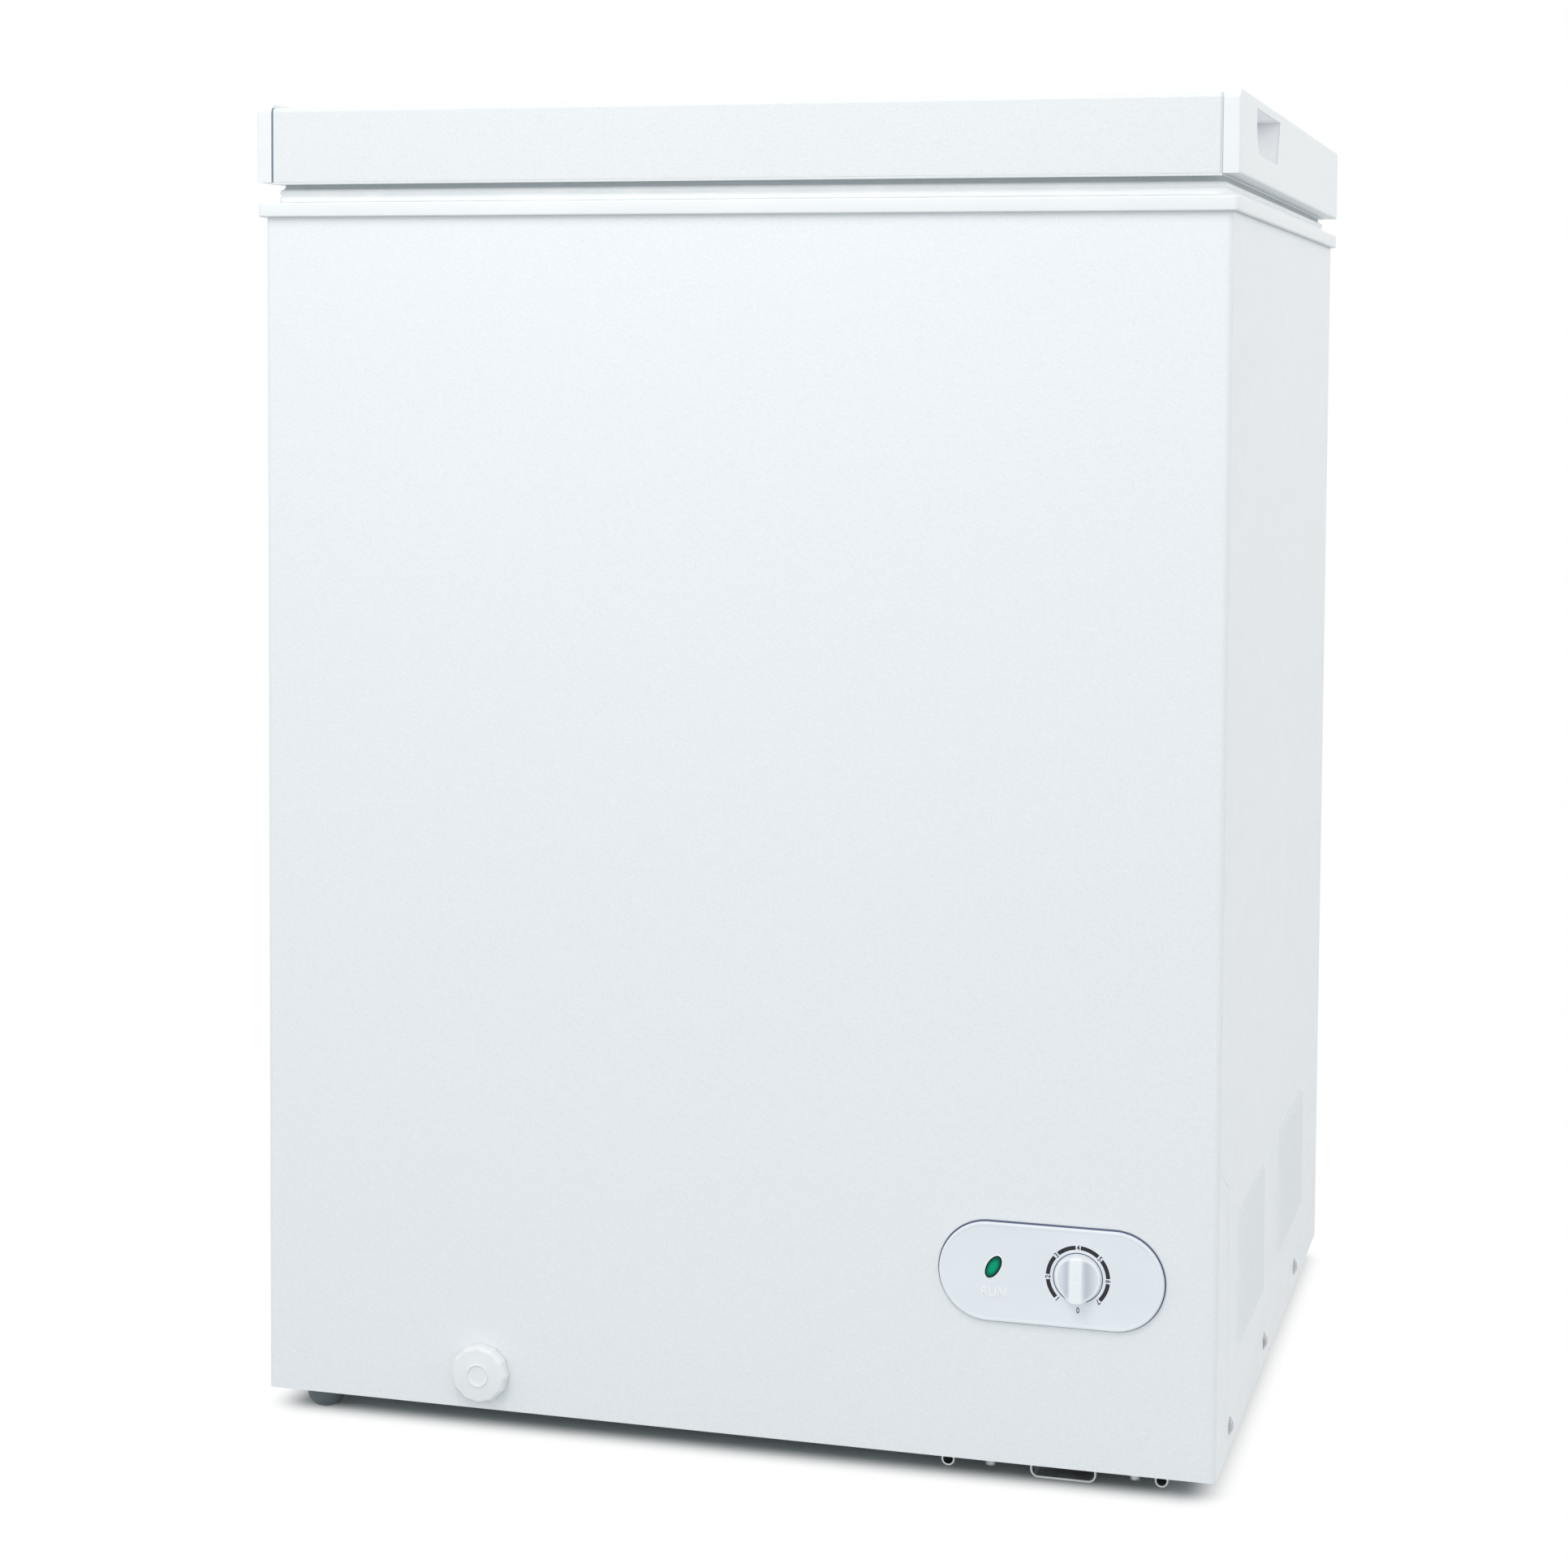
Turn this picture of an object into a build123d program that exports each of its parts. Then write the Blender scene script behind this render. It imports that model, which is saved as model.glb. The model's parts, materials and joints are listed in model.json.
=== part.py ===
import os
from math import atan2, cos, degrees, radians, sin, tan

from build123d import *

# Chest freezer, millimetres. The floor is Z = 0, the front faces -Y and the origin lies under the
# middle of the whole, knob and hinges included.

# --- driving dimensions ---------------------------------------------------------------------------
cabinet_width = 622.0
cabinet_depth = 552.0
floor_gap = 14.0            # floor to the cabinet's lower edge
rim_top = 787.0             # floor to the top of the rim frame
overhang = 4.0              # rim frame and lid past the cabinet
lid_gap = 13.0              # rim frame to lid, filled by the gasket
lid_height = 50.0

sheet = 0.8                 # steel sheet of the cabinet and lid
seat = 0.2                  # clearance between pieces that are laid against each other
fold = 1.2                  # extra room for the round of a fold
fold_round = 3.2            # inside round of the cabinet's upright folds
run = 0.3                   # clearance between pieces that move past each other
slip = 0.05                 # radial clearance of a pin in its hole
past = 5.0                  # how far a cut runs past the face it opens
far = 400.0                 # half size of a cut that takes everything on one side

side_wall = 66.0            # cabinet face to the inside of the tank
floor_wall = 64.0           # cabinet lower edge to the tank floor
tank_sheet = 1.0
tank_corner = 30.0
ledge = 8.0                 # shelf round the mouth that carries the basket
ledge_drop = 22.0           # top of the rim frame to that shelf

bay_width = 190.0           # compressor bay, at the right
bay_height = 221.0
bay_foam = 54.0

flange_width = 30.0         # turned-in lower edge of the cabinet
rail_lap = 6.0
rail_height = 24.0
rim_skirt = 9.0             # outer face height of the rim frame
rim_wall = 2.5
rim_round = 4.0

cap_width = 10.4            # plastic end caps of the lid, seen from the front
cap_wall = 2.5
cap_proud = 2.6             # end caps above the lid sheet
cap_round = 6.0
skin_round = 3.0
pan_margin = 14.0           # mouth of the tank to the lid's inner pan
pan_depth = 22.0
pan_sheet = 1.5
gasket_inset = 13.0
gasket_width = 12.0

grip_front = 69.6           # grip recess in the end cap, from the cabinet's front
grip_length = 118.6
grip_height = 28.0
grip_depth = 17.0
grip_below_top = 6.0
grip_wall = 1.5

louvre_height = 86.0
louvre_bottom = 56.0
louvre_width = 8.0
louvre_rise = 2.4
louvre_pitch = 17.5
louvre_starts = (94.0, 301.0)               # two groups, from the front
louvre_counts = (7, 8)
louvre_end = 2.2            # round of a louvre's closed ends

side_screw_insets = (62.0, 234.0, 411.0)    # from the front
side_screw_rise = 15.0
pilot_rise = 6.5            # small hole above each side screw
pilot_radius = 1.1
crease_inset = 43.0         # pressed lines on the right side, from the front
crease_rise = 21.5
crease_top = 169.0
crease_arm = 37.0
crease_radius = 0.6

control_inset = 101.8       # middle of the bezel, from the right side
control_z = 118.8           # above the cabinet's lower edge
bezel_length = 140.0
bezel_height = 62.0
bezel_thick = 3.0
knob_offset = 16.9          # knob axis from the middle of the bezel
knob_radius = 15.5
knob_stand = 8.0            # knob in front of the bezel
scoop_radius = 12.0         # hollow beside the knob's grip bar
scoop_depth = 5.6
grip_bar = 3.6              # half width of that bar
dial_rise = 0.8             # knob above the middle of the bezel
shaft_radius = 3.0
bush_radius = 5.0
shaft_hold = 15.0           # shaft inside the thermostat
shaft_grip = 5.0            # shaft inside the knob
lamp_offset = -35.5
lamp_length = 15.0
lamp_width = 8.0
lamp_tilt = 30.0
lamp_rise = 3.2             # lamp above the middle of the bezel
lamp_stem = 3.3
lamp_tube = 6.5

drain_side = 149.5          # from the left side
drain_z = 24.0
drain_cap_radius = 19.0
drain_cap_thick = 9.0
drain_bore = 8.0
drain_wall = 2.0
drain_inset = 84.0          # drain hole from the cabinet's front
drain_turn = 14.0           # mitred piece in the drain's elbow
scallops = 12
scallop_radius = 5.5

foot_radius = 12.5
foot_side = 33.0            # left feet, from the left side
foot_inset = 18.0
base_foot_side = 54.0       # right feet, from the right side
base_foot_inset = 58.0
foot_stem = 4.0
foot_stem_long = 17.0
foot_stem_short = 12.0

base_inset_left = 18.5      # compressor base plate, from the bay's wall
base_inset_right = 30.0     # and from the right side
base_thick = 1.2
base_front = 10.0
bead_radius = 4.15
channel_inset = 56.0        # pressed channel, from the base plate's left edge
channel_width = 41.1
channel_depth = 10.7
channel_round = 5.0
base_screw_left = 29.5
base_screw_right = 21.5
base_screw_end = 18.0

compressor_inset = 91.0     # middle of the compressor, from the bay's wall
compressor_back = 185.5     # and from the cabinet's back
compressor_width = 126.0
compressor_length = 164.0
shell_lower_heights = (58.0, 12.0, 8.0)     # of the bowls' steps, from the weld flange
shell_lower_tilts = (0, 24, 52)
shell_upper_heights = (40.0, 14.0, 11.0, 7.0)
shell_upper_tilts = (0, 16, 40, 66)
shell_flange = 3.0
leg_inset = 15.0            # rubber mounts in from the shell's sides
leg_beyond = 2.0            # and past its round ends
leg_plate = 2.5
leg_border = 17.0           # cradle past the middle of a rubber mount
leg_corner = 14.0
leg_waist = 44.0
grommet_height = 12.0
grommet_neck = 7.0
grommet_radius = 11.0
bolt_radius = 3.0
relay_width = 58.0
relay_depth = 30.0
relay_height = 52.0
relay_offset = 10.0

coil_width = 6.0            # evaporator tube
coil_height = 9.0
coil_turns = 5
coil_pitch = 76.0
coil_margin = 12.0          # free foam above and below the evaporator
coil_lead = 160.0           # straight start of the evaporator
coil_climb = 120.0          # corner to the slanting stretch of each turn
coil_bend = 30.0
condenser_side = 5.0
condenser_runs = 7
condenser_pitch = 80.0
condenser_rise = 120.0
condenser_inset = 70.0      # condenser bends from the cabinet's front and back

suction_radius = 4.0
suction_height = 121.0
suction_out = 26.0
suction_reach = 20.0        # suction fitting from the compressor's middle line
discharge_radius = 3.0
discharge_height = 118.0
discharge_side = 10.0
liquid_radius = 2.5
liquid_height = 70.0
liquid_side = 60.0
liquid_bend = 12.0
capillary_radius = 1.5
wall_reach = 12.0           # lines carried on into the foam
drier_radius = 9.0
drier_length = 84.0
drier_cone = 20.0
drier_stand = 28.0          # drier from the bay's wall
drier_rise = 96.0
drier_beyond = 70.0         # drier behind the liquid line's entry

grille_lap = 14.0           # grille over the edge of its opening
grille_side = 8.0
grille_foot = 18.0
grille_head = 6.0
grille_screw = 8.0          # its screws in from its corners

gland_radius = 9.0
gland_flange = 3.0
lead_radius = 4.0

hinge_side = 111.0          # middle of a hinge, from the cabinet's side
hinge_stand = 20.0          # hinge behind the cabinet
hinge_plate = 2.0
hinge_inner = 11.0          # half width inside the hinge channel
hinge_flange = 15.0
hinge_length = 84.0
hinge_below = 2.0           # hinge below the rim frame's skirt
hinge_web = 1.0
hinge_screw = 14.0          # its screws in from its ends
knuckle_radius = 6.0
pin_radius = 2.5
axis_rise = 9.0             # hinge axis above the rim frame
cam_lift = 12.0             # hinge axis to the plunger with the lid closed
cam_rate = 4.4              # plunger travel for each radian of the lid
lid_travel = 85.0           # degrees
spring_radius = 6.5
spring_wire = 2.4
spring_turns = 5
spring_facets = 16          # straight pieces in each turn
spigot_radius = 3.4
leaf_half = 26.0            # half width of the hinge's plate on the lid
leaf_low = 4.0
leaf_side = 8.0
leaf_screw = 6.0

screw_shank = 1.9
screw_length = 10.0
screw_head = 4.0
screw_rise = 2.2

basket_width = 225.0
basket_height = 190.0
basket_wire = 4.0
basket_gap = 6.0
basket_mesh = 55.0

# --- places worked out from them ------------------------------------------------------------------
half_x = cabinet_width / 2
half_y = (bezel_thick + knob_stand + cabinet_depth + hinge_stand) / 2
front = bezel_thick + knob_stand - half_y
back = half_y - hinge_stand
rim_x = half_x + overhang
rim_front = front - overhang
rim_back = back + overhang
rim_bottom = rim_top - rim_skirt
lid_bottom = rim_top + lid_gap
lid_top = lid_bottom + lid_height
skin_top = lid_top - cap_proud
skin_x = rim_x - cap_width
skin_front = rim_front + 0.6
skin_back = rim_back - 0.6
tank_x = half_x - side_wall
tank_front = front + side_wall
tank_back = back - side_wall
tank_floor = floor_gap + floor_wall
ledge_z = rim_top - ledge_drop
mouth_x = tank_x + ledge
mouth_front = tank_front - ledge
mouth_back = tank_back + ledge
bay_x = half_x - bay_width
bay_top = floor_gap + bay_height
step_x = bay_x - bay_foam
step_z = bay_top + bay_foam
panel_z = floor_gap + sheet + seat          # underside of the bottom panel
foam_bottom = panel_z + sheet + seat
foam_top = rim_top - rim_wall - seat
foam_x = half_x - sheet - seat
foam_front = front + sheet + seat
foam_back = back - sheet - seat
base_top = floor_gap - seat                 # top of the compressor base plate
pan_bottom = lid_bottom + sheet + seat      # underside of the pan's flange
pan_top = pan_bottom + pan_sheet
axis_y = back + hinge_stand - knuckle_radius
control_x = half_x - control_inset
drain_x = drain_side - half_x
hinge_x = half_x - hinge_side
foot_x = half_x - foot_side
base_foot_x = half_x - base_foot_side
base_left = bay_x + base_inset_left
base_right = half_x - base_inset_right
channel_left = base_left + channel_inset
channel_right = channel_left + channel_width
compressor_x = bay_x + compressor_inset
leg_x = compressor_width / 2 - leg_inset
leg_y = compressor_length / 2 + leg_beyond
compressor_y = back - compressor_back
axis_z = rim_top + axis_rise


# --- helpers --------------------------------------------------------------------------------------
def block(x0, x1, y0, y1, z0, z1):
    """A box between two corners."""
    return Pos((x0 + x1) / 2, (y0 + y1) / 2, (z0 + z1) / 2) * Box(x1 - x0, y1 - y0, z1 - z0)


def round_block(x0, x1, y0, y1, z0, z1, radius):
    """A box with rounded upright corners."""
    outline = Pos((x0 + x1) / 2, (y0 + y1) / 2, z0) * RectangleRounded(x1 - x0, y1 - y0, radius)
    return extrude(outline, z1 - z0)


def rod(radius, start, end):
    """A round bar from one point to another."""
    along = Vector(*end) - Vector(*start)
    return extrude(Plane(origin=start, z_dir=along) * Circle(radius), along.length)


def screw(place, inwards, head=screw_head, rise=screw_rise, shank=screw_shank, length=screw_length):
    """A pan-head screw whose head seats at place; inwards is the way its shank goes."""
    into = Vector(*inwards)
    seat_point = Vector(*place)
    top = rod(head, seat_point, seat_point - into * rise)
    return top + rod(shank, seat_point, seat_point + into * length)


def clearance_hole(place, inwards, shank=screw_shank, length=screw_length):
    """The hole for a screw's shank, open on both sides of the sheet."""
    into = Vector(*inwards)
    start = Vector(*place) - into * length
    return rod(shank + seat, start, Vector(*place) + into * (length + seat))


def foot_holes(places):
    """Holes for the feet's stems."""
    return [rod(foot_stem + seat, (x, y, 0), (x, y, foot_hole_top)) for x, y in places]


def pipe(section, points, radius):
    """A tube bent along straight runs joined by arcs."""
    path = FilletPolyline(*points, radius=radius)
    start = Plane(origin=path @ 0, z_dir=path % 0, x_dir=(0, 0, 1) if abs((path % 0).Z) < 0.5 else (0, 1, 0))
    return sweep(start * section, path)


def profile_x(points, x0, x1):
    """A closed outline of (y, z) points, carried from x0 to x1."""
    face = make_face(Polyline(*[(x0, y, z) for y, z in points], close=True))
    return extrude(face, x1 - x0, dir=(1, 0, 0))


def at_hinges(piece):
    """The same piece at the left and the right hinge, one after the other."""
    return [Pos(side * hinge_x, 0, 0) * piece for side in (-1, 1)]


# --- places of screws and feet --------------------------------------------------------------------
side_screw_places = [(half_x, front + inset, floor_gap + side_screw_rise) for inset in side_screw_insets]
base_screw_places = [
    (x, y, floor_gap - seat - base_thick)
    for x in (base_left + base_screw_left, base_right - base_screw_right)
    for y in (front + base_screw_end, back - base_screw_end)
]
grille_left = bay_x + grille_side
grille_right = half_x - grille_side
grille_bottom = floor_gap + grille_foot
grille_top = bay_top - grille_head
grille_screw_places = [
    (x, back + seat + sheet, z)
    for x in (grille_left + grille_screw, grille_right - grille_screw)
    for z in (grille_bottom + grille_screw, grille_top - grille_screw)
]
hinge_bottom = rim_bottom - hinge_below - hinge_length
hinge_web_top = rim_bottom + hinge_web
base_hinge_screws = [
    (side * (hinge_inner + hinge_plate + hinge_flange / 2), back + seat + hinge_plate, z)
    for side in (-1, 1)
    for z in (hinge_bottom + hinge_screw, hinge_bottom + hinge_length - hinge_screw)
]
leaf_bottom = lid_bottom + leaf_low
leaf_top = lid_top - leaf_side
leaf_y = skin_back + seat
lid_hinge_screws = [
    (side * (leaf_half - leaf_side), leaf_y + hinge_plate, (leaf_bottom + leaf_top) / 2 + leaf_screw)
    for side in (-1, 1)
]
left_feet = [(-foot_x, front + foot_inset), (-foot_x, back - foot_inset)]
right_feet = [(base_foot_x, front + base_foot_inset), (base_foot_x, back - base_foot_inset)]
foot_hole_top = floor_gap + foot_stem_long + 1.0


# --- cabinet --------------------------------------------------------------------------------------
def louvre_ends(grow, y0, y1):
    """A bar across a louvre whose outer corners are rounded; grow is negative for the hollow inside."""
    z0 = floor_gap + louvre_bottom - grow
    bar = block(
        half_x - 2 * past, half_x + louvre_rise + grow, y0, y1, z0, z0 + louvre_height + 2 * grow
    )
    return fillet(bar.edges().filter_by(Axis.Y).group_by(Axis.X)[-1], louvre_end + grow)


def louvre(y):
    """One pressed hood: it rises towards the back, where it is open, and its ends are closed."""
    z0 = floor_gap + louvre_bottom
    x = half_x
    y1 = y + louvre_width
    outer = [(x, y), (x + louvre_rise, y1), (x - sheet, y1), (x - sheet, y)]
    inner = [
        (x - 2 * sheet, y + sheet), (x - sheet, y + sheet), (x + louvre_rise - sheet, y1),
        (x + louvre_rise - sheet, y1 + past), (x - 2 * sheet, y1 + past),
    ]
    hood = extrude(Pos(0, 0, z0) * make_face(Polyline(*outer, close=True)), louvre_height)
    hollow = extrude(Pos(0, 0, z0) * make_face(Polyline(*inner, close=True)), louvre_height)
    return hood & louvre_ends(0, y, y1), hollow & louvre_ends(-sheet, y, y1 + past)


def side_creases():
    """Shallow pressed lines on the right side: one above the screws and a forked one near the front."""
    x = half_x + crease_radius / 3
    y = front + crease_inset
    low = floor_gap + crease_rise
    fork = floor_gap + crease_top
    lines = [
        ((x, y, low), (x, back - past, low)),
        ((x, y, low), (x, y, fork)),
        ((x, y, fork), (x, y - crease_arm, fork + crease_arm / 2)),
        ((x, y, fork), (x, y + crease_arm, fork + crease_arm / 2)),
    ]
    return [rod(crease_radius, start, end) for start, end in lines]


def make_wrapper():
    """Front and both sides in one folded sheet, with its lower edge turned in."""
    behind = back + 2 * past
    outer = round_block(
        -half_x, half_x, front, behind, floor_gap, foam_top, fold_round + sheet
    )
    inner = round_block(
        -half_x + sheet, half_x - sheet, front + sheet, behind + past, floor_gap + sheet, foam_top + past,
        fold_round,
    )
    under = block(
        -half_x + flange_width, half_x - flange_width, front + flange_width, behind, 0, floor_gap + past
    )
    body = outer - inner - under - block(-far, far, back, behind, 0, foam_top)
    body -= block(-foam_x, foam_x, foam_back, behind, 0, floor_gap + past)
    hollows = []
    for start, number in zip(louvre_starts, louvre_counts):
        for index in range(number):
            hood, hollow = louvre(front + start + index * louvre_pitch)
            body += hood
            hollows.append(hollow)
    body -= hollows
    body -= [clearance_hole(place, (-1, 0, 0)) for place in side_screw_places]
    body -= [
        rod(pilot_radius, (x - past, y, z + pilot_rise), (x + past, y, z + pilot_rise))
        for x, y, z in side_screw_places
    ]
    for groove in side_creases():
        body -= groove
    body -= foot_holes(left_feet)
    body -= [clearance_hole(place, (0, 0, 1)) for place in base_screw_places[::2]]
    body -= rod(bush_radius + seat, knob_point(front - past), knob_point(front + past))
    body -= rod(lamp_stem + seat, lamp_point(front - past), lamp_point(front + past))
    body -= rod(drain_bore + drain_wall + seat, drain_point(front - past), drain_point(front + past))
    return body


def knob_point(y):
    return (control_x + knob_offset, y, floor_gap + control_z + dial_rise)


def lamp_point(y):
    return (control_x + lamp_offset, y, floor_gap + control_z + lamp_rise)


def drain_point(y):
    return (drain_x, y, floor_gap + drain_z)


def make_rear_panel():
    """Flat back sheet with its lower edge turned in and an opening to the compressor bay."""
    x = half_x - sheet - seat
    panel = block(-x, x, back - sheet, back, floor_gap, foam_top)
    panel += block(
        -half_x + flange_width + seat, half_x - flange_width - seat,
        back - flange_width, back, floor_gap, floor_gap + sheet,
    )
    panel -= block(
        grille_left + grille_lap, grille_right - grille_lap, back - past, back + past,
        grille_bottom + grille_lap, grille_top - grille_lap,
    )
    panel -= [clearance_hole(place, (0, -1, 0)) for place in grille_screw_places]
    panel -= [clearance_hole(place, (0, 0, 1)) for place in base_screw_places[1::2]]
    panel -= foot_holes(left_feet)
    for x, y, z in base_hinge_screws:
        panel -= [clearance_hole((x + side * hinge_x, y, z), (0, -1, 0)) for side in (-1, 1)]
    return panel


def make_bottom_panel():
    """One sheet folded into the floor, the bay's wall and the bay's roof."""
    x = foam_x - fold
    y0 = foam_front + fold
    y1 = foam_back
    panel = block(-x, bay_x + sheet, y0, y1, panel_z, panel_z + sheet)
    panel += block(bay_x, bay_x + sheet, y0, y1, panel_z, bay_top)
    panel += block(bay_x, x, y0, y1, bay_top - sheet, bay_top)
    panel -= foot_holes(left_feet)
    panel -= [rod(radius + seat, start, end) for radius, start, end in wall_pipes]
    return panel


def make_bay_rail():
    """Angle along the foot of the right side, which takes the side screws."""
    x0 = half_x - flange_width + rail_lap
    x1 = foam_x
    y0 = foam_front + 3 * fold
    rail = block(x0, x1, y0, foam_back, panel_z, panel_z + base_thick)
    rail += block(x1 - base_thick, x1, y0, foam_back, panel_z, panel_z + rail_height)
    return rail - [clearance_hole(place, (-1, 0, 0)) for place in side_screw_places]


def tank_solid(grow):
    """The stepped inside of the tank, enlarged by grow on every face but the top."""
    upper = round_block(
        -tank_x - grow, tank_x + grow, tank_front - grow, tank_back + grow,
        step_z - grow, ledge_z - rim_wall - seat, tank_corner + grow,
    )
    lower = round_block(
        -tank_x - grow, step_x + grow, tank_front - grow, tank_back + grow,
        tank_floor - grow, step_z + 2 * tank_corner, tank_corner + grow,
    )
    return upper + lower


def make_tank():
    """Folded aluminium tank with a step over the compressor bay and a drain hole."""
    hole = rod(drain_bore + drain_wall + seat, drain_hole_point(0), drain_hole_point(tank_floor + past))
    return tank_solid(tank_sheet) - tank_solid(0) - hole


def drain_hole_point(z):
    return (drain_x, front + drain_inset, z)


def make_foam():
    """The insulation that fills the walls."""
    foam = block(-foam_x, foam_x, foam_front, foam_back, foam_bottom, foam_top)
    foam = fillet(foam.edges().filter_by(Axis.Z).group_by(Axis.Y)[0], fold_round)
    foam -= block(bay_x - seat, half_x, front, back, 0, bay_top + seat)
    foam -= tank_solid(tank_sheet + seat)
    foam -= block(
        -mouth_x - rim_wall - seat, mouth_x + rim_wall + seat,
        mouth_front - rim_wall - seat, mouth_back + rim_wall + seat,
        ledge_z - rim_wall - seat, rim_top,
    )
    foam -= coil_recess
    foam -= condenser_recess
    foam -= drain_pipe(drain_bore + drain_wall + run)
    foam -= foot_holes(left_feet)
    for x, y, z in base_hinge_screws:
        foam -= [clearance_hole((x + side * hinge_x, y, z), (0, -1, 0)) for side in (-1, 1)]
    foam -= [rod(radius + seat, start, end) for radius, start, end in wall_pipes]
    return foam


def make_rim_frame():
    """White moulded frame over the top of the walls, with the shelf for the basket inside."""
    body = round_block(-rim_x, rim_x, rim_front, rim_back, rim_bottom, rim_top, rim_round)
    body = chamfer(body.faces().sort_by(Axis.Z)[0].edges(), 1.2)
    body -= block(
        -half_x - seat, half_x + seat, front - seat, back + seat, rim_bottom - past, rim_top - rim_wall
    )
    shelf_z = ledge_z - rim_wall
    skirt = block(
        -mouth_x - rim_wall, mouth_x + rim_wall, mouth_front - rim_wall, mouth_back + rim_wall,
        shelf_z, rim_top,
    )
    body += skirt
    body -= block(-mouth_x, mouth_x, mouth_front, mouth_back, ledge_z, rim_top + past)
    body -= round_block(
        -tank_x, tank_x, tank_front, tank_back, shelf_z - past, rim_top + past, tank_corner
    )
    return body


# --- refrigeration --------------------------------------------------------------------------------
coil_start = step_z + 40.0
coil_recess = tank_solid(tank_sheet + coil_width + 4 * seat) & block(
    -foam_x, foam_x, front, back, coil_start - coil_margin, coil_start + coil_turns * coil_pitch + coil_margin
)
condenser_y0 = front + condenser_inset
condenser_y1 = back - condenser_inset
condenser_z0 = floor_gap + condenser_rise
condenser_recess = block(
    -foam_x - 1, -foam_x + condenser_side + 2 * seat, condenser_y0 - past, condenser_y1 + past,
    condenser_z0 - past, condenser_z0 + (condenser_runs - 1) * condenser_pitch + past,
)

shell_low = base_top + grommet_height + leg_plate
shell_seam = sum(shell_lower_heights)
grommet_top = grommet_height + leg_plate + 3.0
suction_z = floor_gap + suction_height
suction_top = (
    compressor_x - suction_reach, compressor_y - compressor_length / 2 - suction_out, bay_top + wall_reach
)
liquid_wall = (bay_x - wall_reach, compressor_y + liquid_side, floor_gap + liquid_height)
discharge_wall = (bay_x - wall_reach, compressor_y - discharge_side, floor_gap + discharge_height)
drier_x = bay_x + drier_stand
drier_y = liquid_wall[1] + drier_beyond
drier_low = floor_gap + drier_rise
capillary_top = (drier_x, drier_y, bay_top + wall_reach)
wall_pipes = [
    (suction_radius, suction_top, (suction_top[0], suction_top[1], bay_top - past)),
    (capillary_radius, capillary_top, (capillary_top[0], capillary_top[1], bay_top - past)),
    (liquid_radius, liquid_wall, (bay_x + past, liquid_wall[1], liquid_wall[2])),
    (discharge_radius, discharge_wall, (bay_x + past, discharge_wall[1], discharge_wall[2])),
]
leg_places = [
    (compressor_x + i * leg_x, compressor_y + j * leg_y) for i in (-1, 1) for j in (-1, 1)
]


def make_evaporator():
    """Flat aluminium tube wound round the tank in one rising line."""
    out = tank_sheet + seat + coil_width / 2
    x = tank_x + out
    y0 = tank_front - out
    y1 = tank_back + out
    z = coil_start
    points = [(x - coil_lead, y1, z), (x, y1, z)]
    for turn in range(coil_turns):
        points += [(x, y0, z), (-x, y0, z), (-x, y1, z)]
        if turn < coil_turns - 1:
            points += [
                (-x + coil_climb, y1, z), (x - coil_climb, y1, z + coil_pitch), (x, y1, z + coil_pitch)
            ]
        z += coil_pitch
    points += [(0, y1, z - coil_pitch)]
    bend = tank_corner + out
    radii = [bend if abs(px) > x - 1 else coil_bend for px, py, pz in points[1:-1]]
    return pipe(Rectangle(coil_height, coil_width), points, radii)


def make_condenser():
    """Serpentine tube taped to the inside of the left wall."""
    x = -foam_x + condenser_side / 2
    points = []
    for index in range(condenser_runs):
        z = condenser_z0 + index * condenser_pitch
        ends = (condenser_y0, condenser_y1) if index % 2 == 0 else (condenser_y1, condenser_y0)
        points += [(x, y, z) for y in ends]
    return pipe(Rectangle(condenser_side, condenser_side), points, condenser_pitch * 0.3)


def bowl(steps):
    """A drawn bowl on a plan with round ends: each step rises by a height and leans in by an angle."""
    body = None
    rise = 0.0
    inset = 0.0
    for height, lean in steps:
        plan = Rot(0, 0, 90) * SlotOverall(compressor_length - 2 * inset, compressor_width - 2 * inset)
        layer = Pos(0, 0, rise) * extrude(plan, height, taper=lean)
        body = layer if body is None else body + layer
        rise += height
        inset += height * tan(radians(lean))
    return body


def make_compressor():
    """Two drawn steel bowls welded at a flange."""
    upper = bowl(zip(shell_upper_heights, shell_upper_tilts))
    lower = bowl(zip(shell_lower_heights, shell_lower_tilts))
    flange = Rot(0, 0, 90) * SlotOverall(
        compressor_length + 2 * shell_flange, compressor_width + 2 * shell_flange
    )
    middle = Pos(compressor_x, compressor_y, shell_low + shell_seam)
    band = Pos(0, 0, -shell_flange) * extrude(flange, 2 * shell_flange)
    return middle * (upper + mirror(lower, Plane.XY) + band)


def make_compressor_legs():
    """Stamped cradle under the compressor with a hole for each rubber mount."""
    z = base_top + grommet_height
    plate = Pos(compressor_x, compressor_y, z) * extrude(
        RectangleRounded(2 * (leg_x + leg_border), 2 * (leg_y + leg_border), leg_corner), leg_plate
    )
    for side in (-1, 1):
        cut = Box(leg_waist, 2 * (leg_y - leg_border), 4 * leg_plate)
        plate -= Pos(compressor_x + side * (leg_x + leg_waist / 2), compressor_y, z) * cut
    plate -= [rod(grommet_neck + seat, (x, y, 0), (x, y, shell_low + past)) for x, y in leg_places]
    return plate


def make_grommets():
    """Rubber mounts: a foot under the leg and a neck through it."""
    foot = extrude(Circle(grommet_radius), grommet_height - seat)
    neck = extrude(Circle(grommet_neck), grommet_top)
    mount = foot + neck - extrude(Circle(bolt_radius + seat), grommet_top + past)
    return [Pos(x, y, base_top) * mount for x, y in leg_places]


def make_compressor_bolts():
    """One bolt down through each rubber mount and the base plate."""
    seat_z = base_top + grommet_top + seat
    below = seat_z - base_top + 6.0
    return [
        screw((x, y, seat_z), (0, 0, -1), head=8.5, rise=3.5, shank=bolt_radius, length=below)
        for x, y in leg_places
    ]


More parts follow.
